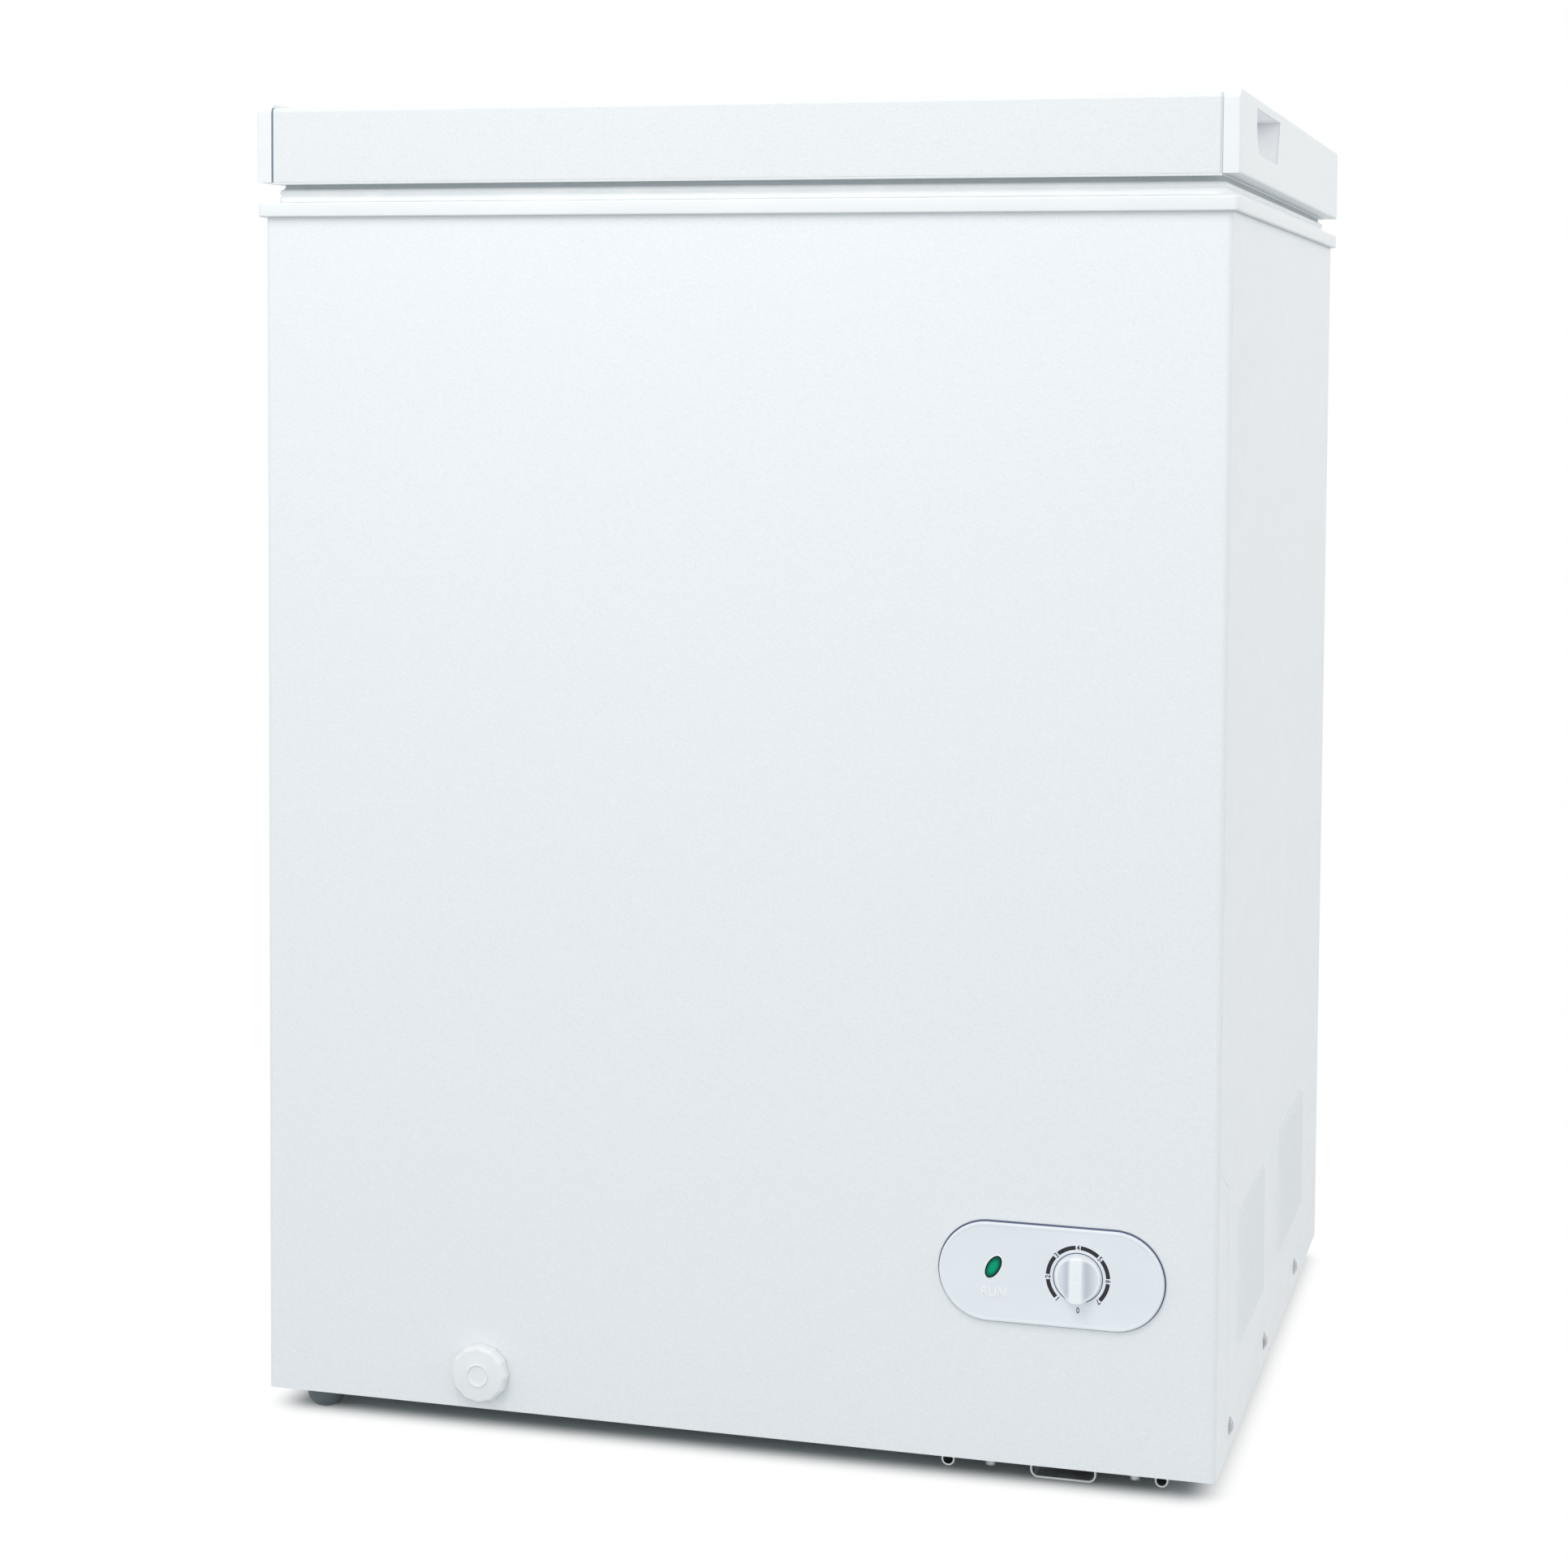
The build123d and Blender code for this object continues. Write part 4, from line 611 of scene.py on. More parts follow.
# %% Inner pan of the lid
pan_low, pan_high = box_of("lid_pan")
pan_centre, pan_size = centre_of("lid_pan")
border, drawn, field = pan_high[2] - 1.5 * MM, pan_low[2] + 0.05 * MM, pan_low[2] + 1.3 * MM
pan_line = np.array([
    (0, border, 1), (66, border, 30), (70, pan_low[2] + 3 * MM, 27), (76, drawn, 24),
    (100, drawn, 20), (104, field, 17), (150, field, 12), (pan_size[1] / 2 / MM - 0.5, field, 0.2),
])
pan_line[:, [0, 2]] *= MM
inset, z, corner = softened(pan_line, 4 * MM, 6, closed=False).T
pan_points = ring_stack(pan_size, pan_centre, inset, corner, z)
middle_line = pan_points[-1:] * (1, 0, 1) + (0, pan_centre[1], 0)
liner = skin(np.concatenate([pan_points, middle_line]))
pan = piece("lid_liner", liner, white_moulding, "lid", ["lid_pan"])
wall = pan.modifiers.new("wall", "SOLIDIFY")
wall.thickness = 1.3 * MM
print("liner reaches down to", round(float(pan_points[..., 2].min()), 4))

# %% [markdown]
# ## Control panel
# The panel is an oval moulding with a crisp, slightly rounded edge. Its outline is two half circles joined
# by straight runs, and the same outline at smaller insets carries the rounded edge and the flat face. Round
# it a thin dark strip lies on the sheet, wider above than below: painted shadow of the gap between the
# panel and the sheet.

# %% Control panel
panel_centre, panel_size = centre_of("control_bezel")
panel_back = box_of("control_bezel")[1, 1]
face, shadow_rise = 2.2 * MM, 0.22 * MM


def on_front(u, v, height, centre=panel_centre):
    """Points on a front plane: u to the right, v up, height towards the viewer from the panel's back."""
    return np.stack(np.broadcast_arrays(centre[0] + u, panel_back - height, centre[2] + v), -1)


def panel_outline(inset):
    """The panel's oval outline, made smaller by each inset."""
    half = panel_size[2] / 2 - inset
    return round_rectangle(panel_size[0] / 2 - inset, half, half, 24)


edge = np.array([
    (31.0, 0.0), (0.5, 0.0), (0.35, 0.5), (0.35, 1.5), (0.45, 1.95), (0.75, 2.3), (1.2, 2.48), (1.8, 2.5),
    (2.3, 2.42), (2.8, 2.26), (3.3, 2.2), (31.0, 2.2),
]) * MM
edge[:, 0] = np.minimum(edge[:, 0], panel_size[2] / 2)
panel = skin(on_front(*panel_outline(edge[:, 0]), edge[:, 1:]))
piece("control_panel", panel, panel_moulding, "cabinet", ["control_bezel"])

# %% Painted shadow round the panel
# Painted shadow: a dark strip round the panel, raised a little so that it shows wider above.
shadow_section = softened([(2.0, 0.0), (-0.5, 0.0), (-0.5, 0.25), (2.0, 0.4)], 0.1, 2) * MM
u, v = panel_outline(shadow_section[:, 0])
joint = skin(on_front(u, v + shadow_rise, shadow_section[:, 1:]), wrap_rows=True)
piece("panel_painted_shadow", joint, moulded("joint_shade", linear(84, 95, 120), 0.6), "cabinet")

# %% [markdown]
# ## Dial
# The scale round the knob is printed: black arcs between the numbers 1 to 7, a thin ring at the knob's
# foot and an upright 0 for off. Ink has almost no thickness, so each arc is a flat strip a twentieth of
# a millimetre above the face. The numbers are text turned into meshes before they are put in place, with
# their tops outwards. The word under the lamp is raised in the moulding instead, in a plastic whiter than
# the panel's: painted highlight on the raised letters.

# %% Arcs and ring
ink = moulded("dial_ink", linear(14, 17, 30), 0.4)
ring_ink = moulded("ring_ink", linear(50, 64, 94), 0.4)
number_ink = moulded("number_ink", linear(30, 40, 62), 0.4)
# Painted highlight: a white for raised letters and the lamp's lip, lighter than the panel's moulding.
raised_highlight_white = moulded("raised_highlight_white", linear(251, 252, 254), 0.3)
ink_proud = 0.05 * MM
joints = {joint["name"]: joint for joint in frame["record"]["behaviour"]["joints"]}
knob_centre = np.array(joints["knob_turn"]["pos_m"])
top_number, number_step, gap = 4, 46, 4.8
number_angles = {k: 90 + number_step * (top_number - k) for k in range(1, 8)}


def printed_arc(inner, outer, start, end, steps=24):
    """A flat strip between two radii: (r cos a, r sin a) on the face, closed underneath."""
    a = np.radians(np.linspace(start, end, steps))[None, :]
    r = np.array([inner, inner, outer, outer])[:, None] * MM
    h = face + np.array([-ink_proud, ink_proud, ink_proud, -ink_proud])[:, None]
    return skin(on_front(r * np.cos(a), r * np.sin(a), h, knob_centre), wrap_rows=True, wrap_columns=False)


arc_inner, arc_outer = 17.3, 19.8
ring_inner, ring_outer, ring_start, ring_end = 14.9, 15.45, -74, 254
arcs = [
    printed_arc(arc_inner, arc_outer, number_angles[k + 1] + gap, number_angles[k] - gap)
    for k in range(1, 7)
]
piece("dial_arcs", gather(arcs), ink, "cabinet")
ring = printed_arc(ring_inner, ring_outer, ring_start, ring_end, 96)
piece("dial_ring", ring, ring_ink, "cabinet")

# %% Letters
def letter_mesh(name, text, size, depth, bold):
    """Flat letters as a mesh: a text object with a little depth, read out as faces."""
    words = bpy.data.curves.new(name, "FONT")
    words.body, words.size = text, size
    words.extrude, words.offset = depth, bold
    words.align_x, words.align_y = "CENTER", "CENTER"
    holder = add_object(name, words)
    bpy.context.view_layer.update()
    mesh = bpy.data.meshes.new_from_object(holder.evaluated_get(bpy.context.evaluated_depsgraph_get()))
    bpy.data.objects.remove(holder)
    return mesh


def points_of(mesh):
    """The places of all points of a mesh, as rows."""
    places = np.zeros(len(mesh.vertices) * 3)
    mesh.vertices.foreach_get("co", places)
    return places.reshape(-1, 3)


def lay_letters(name, text, size, place, squeeze, bold, turn=0.0, depth=0.06, finish=number_ink):
    """Letters on the face, sizes in mm: squeezed in width, turned, and put at place from the knob's axis."""
    mesh = letter_mesh(name, text, size * MM, depth * MM, bold * MM)
    co = points_of(mesh)
    middle = (co[:, :2].min(0) + co[:, :2].max(0)) / 2
    x, y = ((co[:, :2] - middle) * (squeeze, 1.0)).T
    c, s = cos(turn), sin(turn)
    flat = on_front(place[0] + c * x - s * y, place[1] + s * x + c * y, face + co[:, 2], knob_centre)
    mesh.vertices.foreach_set("co", flat.reshape(-1))
    return settle(name, mesh, finish, "cabinet")

# %% Numbers and word
number_radius = 18.6 * MM
for k, degrees in number_angles.items():
    a = radians(degrees)
    place = (number_radius * cos(a), number_radius * sin(a))
    lay_letters(f"dial_number_{k}", str(k), 4.5, place, 0.85, 0.1, turn=a - pi / 2)
lay_letters("dial_number_0", "0", 5.0, (0.2 * MM, -19.9 * MM), 0.75, 0.08)
run_place = np.array([174.1, 120.4]) * MM - knob_centre[[0, 2]]
lay_letters(
    "run_mark", "RUN", 8.6, run_place, 0.92, 0.05, depth=0.34, finish=raised_highlight_white
)
print("numbers", sorted(number_angles), "at radius", number_radius)

# %% [markdown]
# ## Knob
# The knob is a disc with an upright bar to turn it by. Two hollows, each part of a cylinder, fall away
# from the bar to the disc's rim, and the bar runs out into a small pointer at the foot. All of that is one
# height over the disc: the height at (x, z) is the top less the hollow's depth, less the rounding of the
# rim. The hollows are painted a shade darker, as painted shade, darkest beside the bar, so an attribute
# holds how deep each point is. It fades out at the rim and, further from the bar, towards the sides.

# %% Shape of the knob
knob_low, knob_high = box_of("control_knob")
knob_top, knob_foot = panel_back - knob_low[1], panel_back - knob_high[1]
knob_radius, tongue_length, tongue_half = 14.2, 0.3, 4.6
bar_half, bar_flare = 3.7, 0.4
cylinder, sunk, bar_round = 10.5, 7.0, 0.7
rim_width, rim_drop = 1.2, 1.1
dimple_depth, crown = 0.25, 0.0012


def mark(mesh, name, values):
    """Write one number for each point, for the finish to read as an attribute."""
    mesh.attributes.new(name, "FLOAT", "POINT").data.foreach_set("value", values.astype(np.float32))


def knob_outline(a):
    """The disc's radius round the knob, with a short tongue at the foot: 1 - (across / half width)^4."""
    across = np.abs(knob_radius * np.cos(a))
    tongue = np.where(np.sin(a) < 0, np.clip(1 - (across / tongue_half) ** 4, 0, 1), 0.0)
    return (knob_radius + tongue_length * tongue) * MM


def knob_height(x, z, outline, share):
    """Height over the disc; share is the distance from the middle as a part of the outline. The hollow is
    sqrt(R^2 - d^2) - (R - D) deep for a cylinder of radius R sunk D, where d is the distance from its
    axis, and a soft maximum rounds the bar's edge. The rim falls away as a quarter circle."""
    x, z, rho = x / MM, z / MM, share * outline / MM
    half = bar_half + bar_flare * np.clip((-z - 4) / 9, 0, 1) ** 2
    axis = half + np.sqrt(cylinder ** 2 - (cylinder - sunk) ** 2)
    d = axis - np.minimum(np.abs(x), axis)
    depth = np.sqrt(np.maximum(cylinder ** 2 - d ** 2, 0.0)) - (cylinder - sunk)
    depth = 0.5 * (depth + np.sqrt(depth ** 2 + bar_round ** 2))
    rim = np.clip((rho - (outline / MM - rim_width)) / rim_width, 0, 1)
    dimple = dimple_depth * np.exp(-((x ** 2 + (z - 0.5) ** 2) / 1.1) ** 2)
    fall = rim_drop * (1 - np.sqrt(1 - 0.98 * rim ** 2))
    return (-depth - fall - dimple - crown * (x ** 2 + z ** 2)) * MM

# %% The knob
a = np.linspace(0, 2 * pi, 144, endpoint=False)[None, :]
share = np.concatenate([np.linspace(0, 0.9, 26), np.linspace(0.915, 1.0, 9)])[:, None]
outline = knob_outline(a)
x, z = share * outline * np.cos(a), share * outline * np.sin(a)
top = on_front(x, z, knob_top + knob_height(x, z, outline, share), knob_centre)
foot_heights = np.array([[knob_foot + 0.3 * MM], [knob_foot]])
side = on_front(outline * np.cos(a), outline * np.sin(a), foot_heights, knob_centre)
underside = on_front(0 * a, 0 * a, knob_foot, knob_centre)
knob = skin(np.concatenate([top, side, underside]))
turning_knob = piece(
    "turning_knob", knob, knob_moulding, "knob", ["control_knob"], crease=50
)

# %% Painted shade in the hollows of the knob
knob_axis = (knob_centre[0], knob_low[1], knob_centre[2])
across, sunk_by, up = ((points_of(turning_knob.data) - knob_axis) / MM).T
within_rim = np.clip((knob_radius - 0.8 - np.hypot(across, up)) / rim_width, 0, 1)
shade_beside_bar = 1 - 0.6 * np.clip((np.abs(across) - 4) / 8, 0, 1)
# Painted shade: the hollows darken with depth, most beside the bar, least at the rim.
mark(turning_knob.data, "hollow", np.clip(sunk_by / 4.0, 0, 1) * within_rim * shade_beside_bar)
hollow = put(knob_moulding, "ShaderNodeAttribute", attribute_name="hollow").outputs["Fac"]
tint(knob_moulding, between(knob_moulding, hollow, 0.0, 1.0), linear(246, 250, 254), linear(200, 208, 218))
print("knob stands", round((knob_top - face) / MM, 2), "mm in front of the panel's face")

# %% [markdown]
# ## Lamp lens
# The running lamp shows through a green leaf-shaped lens, which leans to the right. It is an ellipse with
# a slightly domed face, in a groove coloured dark green as painted shade, with a raised lip in the whiter
# plastic that paints the highlight on the raised word. A darker edge and a brighter middle are painted
# light: an attribute holds how far each point is from the middle, as a part of the way to the edge, and the
# colour darkens towards the edge as the lamp's light falls off. Small prisms on its back show as darker
# dots.

# %% Lamp lens
lens_centre = centre_of("lamp_lens")[0]
lens_top = panel_back - box_of("lamp_lens")[0, 1]
lean = radians(60)
half_long, half_wide, lens_gap, groove = 7.5, 4.0, -0.35, 0.25


def leaf(share, grow, height):
    """An ellipse 15 by 8 mm, grown by a margin and turned; share runs from its middle to its edge."""
    a = np.linspace(0, 2 * pi, 64, endpoint=False)[None, :]
    along = share * (half_long + grow) * MM * np.cos(a)
    across = share * (half_wide + grow) * MM * np.sin(a)
    u = along * cos(lean) - across * sin(lean)
    v = along * sin(lean) + across * cos(lean)
    return on_front(u, v, height, lens_centre)


share = np.array([0, 0.2, 0.4, 0.6, 0.75, 0.86, 0.93, 0.97, 1.0, 1.0, 1.0, 0.0])[:, None]
dome = np.array([0, 0.01, 0.03, 0.08, 0.15, 0.25, 0.38, 0.55, 0.85, 1.5, 3.0, 3.0])[:, None] * MM
window = skin(leaf(share, lens_gap, lens_top - 0.5 * MM - dome))
lamp = piece("lamp_window", window, green_lens, "cabinet", ["lamp_lens"], 60)

# %% Painted light on the lens
u, _, v = (points_of(lamp.data) - lens_centre).T
along = (u * cos(lean) + v * sin(lean)) / ((half_long + lens_gap) * MM)
across = (v * cos(lean) - u * sin(lean)) / ((half_wide + lens_gap) * MM)
mark(lamp.data, "edge", np.hypot(along, across))
from_middle = put(green_lens, "ShaderNodeAttribute", attribute_name="edge").outputs["Fac"]
speck = between(green_lens, cells(green_lens, 900.0)["Distance"], 0.12, 0.0, 0.05, 0.4)
# Painted light: bright in the middle of the lens, darker towards its edge; the prisms add darker dots.
painted_glow_and_prisms = between(green_lens, reckon(green_lens, "ADD", from_middle, speck), 0.0, 1.0, 0.35, 1.05)
tint(green_lens, painted_glow_and_prisms, linear(0, 158, 118), linear(0, 70, 56))

# %% Groove with painted shade, and lip
groove_share = np.array([0.0, 1.0, 1.0, 0.86, 0.86, 0.0])[:, None]
groove_height = face + np.array([0.08, 0.08, 0.08, 0.08, -0.42, -0.42])[:, None] * MM
# Painted shade: the groove round the lens is coloured dark green.
groove_painted_shade = moulded("groove_painted_shade", linear(4, 34, 30), 0.5)
piece("lamp_groove", skin(leaf(groove_share, groove, groove_height)), groove_painted_shade, "cabinet")
lip_section = softened([(0.2, -0.1), (0.2, 0.18), (0.7, 0.14), (1.0, -0.1)], 0.12, 2)
lip_points = np.concatenate([leaf(1.0, grow, face + height * MM) for grow, height in lip_section])
piece("lamp_lip", skin(lip_points, wrap_rows=True), raised_highlight_white, "cabinet")

# %% [markdown]
# ## Drain cap
# The cap over the drain outlet has twelve flats to grip, a bevelled face and a thin raised ring. Its
# outline is a polygon whose radius at angle a is the flat's distance divided by cos of the angle from the
# middle of that flat, made slightly hollow between the corners. The rows run from the middle of the face,
# where they are circles, to the rim, where they follow the polygon. The spigot behind it is a lathe
# shape, as are the feet, bolts and plug further on.

# %% Turned shapes
def sideways(along):
    """Two directions square to this one: along x upright (along x back, if it is upright itself), and
    along x side."""
    along = np.array(along, float) / np.linalg.norm(along)
    side = np.cross(along, (0, 0, 1) if abs(along[2]) < 0.9 else (0, 1, 0))
    side /= np.linalg.norm(side)
    return side, np.cross(along, side), along


def turned(profile, centre, along, segments=48, closed=False, soft=None):
    """A lathe shape: each (radius, height) of the profile, in mm, is a circle of that radius, that high
    along an axis. Its corners may be softened. A closed profile makes a ring with a bore."""
    profile = (np.asarray(profile, float) if soft is None else softened(profile, soft, 2, closed)) * MM
    side, other, along = sideways(along)
    a = np.linspace(0, 2 * pi, segments, endpoint=False)
    circle = np.cos(a)[:, None] * side + np.sin(a)[:, None] * other
    points = np.array(centre) + profile[:, :1, None] * circle + profile[:, 1:, None] * along
    return skin(points, wrap_rows=closed)

# %% Drain cap
cap_low, cap_high = box_of("drain_cap")
drain_centre = (cap_low + cap_high) / 2
cap_face, cap_back = cap_low[1] + 1.9 * MM, cap_low[1] + 9.7 * MM
cap_radius = (cap_high[0] - cap_low[0]) / 2 * 1.012
cap_rim = 19.0


def cap_outline(a):
    """Radius of the twelve-sided cap: flat / cos(angle from the flat's middle), hollowed by 0.1 mm."""
    from_middle = (a % (pi / 6)) - pi / 12
    return cap_radius * cos(pi / 12) / np.cos(from_middle) - 0.1 * MM * np.cos(6 * from_middle) ** 2


rows = np.array([
    (0.0, 0.25), (4.8, 0.25), (5.9, 0.2), (6.3, 0.0), (6.5, -0.6), (6.9, -0.8), (7.3, -0.6), (7.6, 0.0),
    (8.0, 0.1), (16.4, 0.0), (17.0, 0.1), (17.9, 0.75), (18.6, 1.6), (18.9, 2.2), (cap_rim, 2.8),
    (cap_rim, 7.0), (18.6, 7.7), (17.8, 7.8), (0.0, 7.8),
])
a = np.linspace(0, 2 * pi, 144, endpoint=False)[None, :]
to_rim = np.clip((rows[:, :1] - 9) / 8, 0, 1)
radius = rows[:, :1] * MM * (1 - to_rim) + (cap_outline(a) - (cap_rim - rows[:, :1]) * MM) * to_rim
x, z = drain_centre[0] + radius * np.cos(a), drain_centre[2] + radius * np.sin(a)
cap = skin(np.stack(np.broadcast_arrays(x, cap_face + rows[:, 1:] * MM, z), -1))
spigot_line = [(0, 0), (7.7, 0), (7.7, 15.0), (6.9, 16.0), (5.4, 16.0), (5.4, 2), (0, 2)]
spigot = turned(spigot_line, (drain_centre[0], cap_back, drain_centre[2]), (0, 1, 0))
cap = gather([cap, spigot])
piece("drain_cap_moulding", cap, white_moulding, "drain_cap", ["drain_cap"], 28)

# %% [markdown]
# ## Feet
# Four moulded feet keep the cabinet off the floor: a small flat tread, a round dome and a push-in stem.
# They are turned shapes, so each is one profile swept round its axis. The right pair is shorter in the
# stem, because it sits under the compressor's tray.

# %% Feet
feet_low, feet_high = box_of("feet") / MM
foot_radius, tray_foot_x, tray_foot_in = 12.5, 257.0, 40.0


def foot(x, y, seat, stem_top):
    """One foot under (x, y): its profile as radius and height in mm, turned round its axis."""
    outline = [
        (0, 0.5), (2.6, 0.5), (3.0, 0), (4.9, 0), (7.2, 1.0), (9.4, 2.7), (11.2, 5.2), (12.2, 7.9),
        (foot_radius, 10.0), (foot_radius, seat - 1.2), (11.9, seat), (4.0, seat), (4.0, stem_top - 1),
        (3.2, stem_top), (0, stem_top),
    ]
    return turned(outline, (x * MM, y * MM, 0), (0, 0, 1), 40)


left, near, far = feet_low[0] + foot_radius, feet_low[1] + foot_radius, feet_high[1] - foot_radius
feet = [foot(left, y, 13.8, 31.0) for y in (near, far)]
feet += [foot(tray_foot_x, y, 12.4, 25.8) for y in (near + tray_foot_in, far - tray_foot_in)]
piece("round_feet", gather(feet), foot_moulding, "cabinet", ["feet"], 40)

# %% [markdown]
# ## Screws
# Every cover is held by pan-head screws with a cross recess. A head is a height over a disc: the rim falls
# away as sqrt(1 - (r / R)^3.5), and two crossed slots are sunk in the middle. The disc comes from a square
# grid, where (u, v) goes to (u sqrt(1 - v^2/2), v sqrt(1 - u^2/2)), so that the grid lines run along the
# slots. The base plate's screws have taller heads, which hang a little below the cabinet's lower edge.

# %% One screw
head_radius, head_height = 4.0, 2.2
collar_line = [(0, 0.02), (5.3, 0.02), (5.4, 0.25), (5.3, 0.6), (3.9, 0.85), (0, 0.85)]
shank_line = [(1.9, 0), (1.9, 8.6), (0, 10)]


def pan_head(place, outwards, turn, lift, steps=27):
    """A pan-head screw seated at place: head, lifted by lift, on a flat collar, and a shank."""
    side = np.cross(outwards, (0, 0, 1) if abs(outwards[2]) < 0.9 else (0, 1, 0))
    other = np.cross(outwards, side)
    u, v = np.meshgrid(*[np.linspace(-1, 1, steps)] * 2, indexing="ij")
    x, y = head_radius * u * np.sqrt(1 - v ** 2 / 2), head_radius * v * np.sqrt(1 - u ** 2 / 2)
    r = np.clip(np.hypot(x, y) / head_radius, 0, 1)

    def slot_shape(across, along):
        """1 inside a slot, falling to 0 down its sloping sides and ends."""
        return np.clip(1.6 - np.abs(across) / 0.42, 0, 1) * np.clip(3.4 - np.abs(along) / 0.62, 0, 1)

    recess = np.maximum(slot_shape(x, y), slot_shape(y, x))
    height = 0.7 + lift + 1.5 * np.sqrt(1 - 0.998 * r ** 3.5) - 1.0 * recess
    c, s = cos(turn), sin(turn)
    flat = ((c * x - s * y)[..., None] * side + (s * x + c * y)[..., None] * other) * MM + np.array(place)
    head = skin(flat + height[..., None] * MM * outwards, wrap_columns=False)
    along_edge, last = np.arange(steps), steps - 1
    edge = np.concatenate([
        along_edge * steps, along_edge + last * steps, along_edge[::-1] * steps + last, along_edge[::-1]
    ])
    rim, base = head[0][edge], flat.reshape(-1, 3)[edge]
    wall = skin(np.stack([rim, base, np.broadcast_to(np.array(place), base.shape)]))
    shank, collar = turned(shank_line, place, -outwards, 12), turned(collar_line, place, outwards, 32)
    return gather([head, wall, shank, collar])

# %% A node's screws
def screw_set(name, outwards, body="cabinet", lift=0.0, **rows):
    """A node's screws as one piece. They stand where the rows x, y and z cross. A row that isn't given is
    the two ends of the node's box, a head's radius inside it; along the way that they face the heads are
    seated a head's height inside it. The slots are turned a little differently."""
    low, high = box_of(name)
    outwards, margin = np.array(outwards, float), head_radius * MM
    rows = [rows.get(letter, (low[i] + margin, high[i] - margin)) for i, letter in enumerate("xyz")]
    axis = int(np.argmax(np.abs(outwards)))
    end = (low if outwards[axis] < 0 else high)[axis]
    rows[axis] = [end - outwards[axis] * head_height * MM]
    places = list(product(*rows))
    turns = np.linspace(0.1, 1.3, len(places))
    heads = [pan_head(place, outwards, turn, lift) for place, turn in zip(places, turns)]
    return piece(name + "_set", gather(heads), bright_steel, body, [name], 28)


def beside_hinges(distance):
    """The places along x that lie this far to both sides of the two hinges."""
    return [hinge + side * distance for hinge in (-0.2, 0.2) for side in (-1, 1)]

# %% All screws
first = box_of("side_screws")[0] + head_radius * MM
side_rows = first[1] + np.array([0.0, 172.0, 349.0]) * MM
screw_set("side_screws", (1, 0, 0), y=side_rows, z=first[2:])
screw_set("base_plate_screws", (0, 0, -1), lift=5.2)
screw_set("rear_grille_screws", (0, 1, 0))
screw_set("hinge_base_screws", (0, 1, 0), x=beside_hinges(20.5 * MM))
leaf_height = centre_of("hinge_leaf_screws")[0][2]
screw_set("hinge_leaf_screws", (0, 1, 0), "lid", x=beside_hinges(18 * MM), z=[leaf_height])

# %% [markdown]
# ## Compressor
# The compressor's shell is two deep-drawn bowls with a weld flange between them. The plan has round ends,
# and the height profile is a soft curve, so the shell is a stack of such plans at changing insets. It
# stands on rubber mounts, each held by one bolt through the tray: a six-sided head on a washer.

# %% Compressor
shell_centre, shell_low = centre_of("compressor_shell")[0], box_of("compressor_shell")[0, 2]
half_width, half_length, shell_foot = 63, 82, 78
profile = np.array([
    (62.9, -78.0), (40, -77.6), (26, -75.5), (13, -69.5), (5, -61), (1, -52), (0, -44), (0, -4.2),
    (-1.4, -3.8), (-2.6, -3.1), (-2.95, -1.6), (-2.95, 1.6), (-2.6, 3.1), (-1.4, 3.8), (0, 4.2), (0, 36),
    (0.8, 43), (3.5, 51), (9, 59), (18, 65.6), (30, 69.8), (45, 71.7), (62.9, 72.0),
])
inset, height = softened(profile, 5.0, 3, closed=False).T
round_end = np.maximum(half_width - inset, 0) * MM
plan = np.array([2 * half_width, 2 * half_length]) * MM
shell = ring_stack(plan, shell_centre, inset * MM, round_end, (height + shell_foot) * MM + shell_low, 14)
piece("compressor_pot", skin(shell), shell_enamel, "cabinet", ["compressor_shell"], 45)

# %% Rubber mounts
mount_radius = 11 * MM
low, high = box_of("compressor_grommets")
mount_places = list(product(*((low[i] + mount_radius, high[i] - mount_radius) for i in (0, 1))))
mount = [
    (3.3, 0), (10.8, 0), (11, 2.4), (9.6, 4.8), (9.6, 7.2), (11, 9.4), (10.8, 11.8), (7, 11.8), (7, 17.4),
    (3.3, 17.4),
]
mounts = gather([turned(mount, (*place, low[2]), (0, 0, 1), 32, True, 0.8) for place in mount_places])
piece("compressor_mounts", mounts, mount_rubber, "cabinet", ["compressor_grommets"], 45)

# %% Bolts
bolt_low, bolt_high = box_of("compressor_bolts")[:, 2]
seat = bolt_high - 3.5 * MM
washer = [(0, -0.4), (8.2, -0.4), (8.5, -0.1), (8.5, 0.6), (8.2, 0.9), (0, 0.9)]
hexagon = [(0, 0.9), (6.2, 0.9), (6.2, 3.2), (5.6, 3.5), (0, 3.5)]
tip = (bolt_low - seat) / MM
shank = [(0, tip), (2.9, tip + 0.6), (2.9, 0), (0, 0)]
bolts = gather([
    turned(part, (*place, seat), (0, 0, 1), sides)
    for place in mount_places for part, sides in ((washer, 28), (hexagon, 6), (shank, 16))
])
piece("compressor_bolt_set", bolts, bright_steel, "cabinet", ["compressor_bolts"], 30)

# %% [markdown]
# ## Copper lines and drier
# Four short lines leave the compressor bay: suction, discharge, liquid and capillary. Copper tube is bent
# on a former, so each line is straight runs joined by true arcs, with a brazed collar where it meets a
# fitting. The filter drier is a copper can with its ends spun down to the tubes, a turned shape.

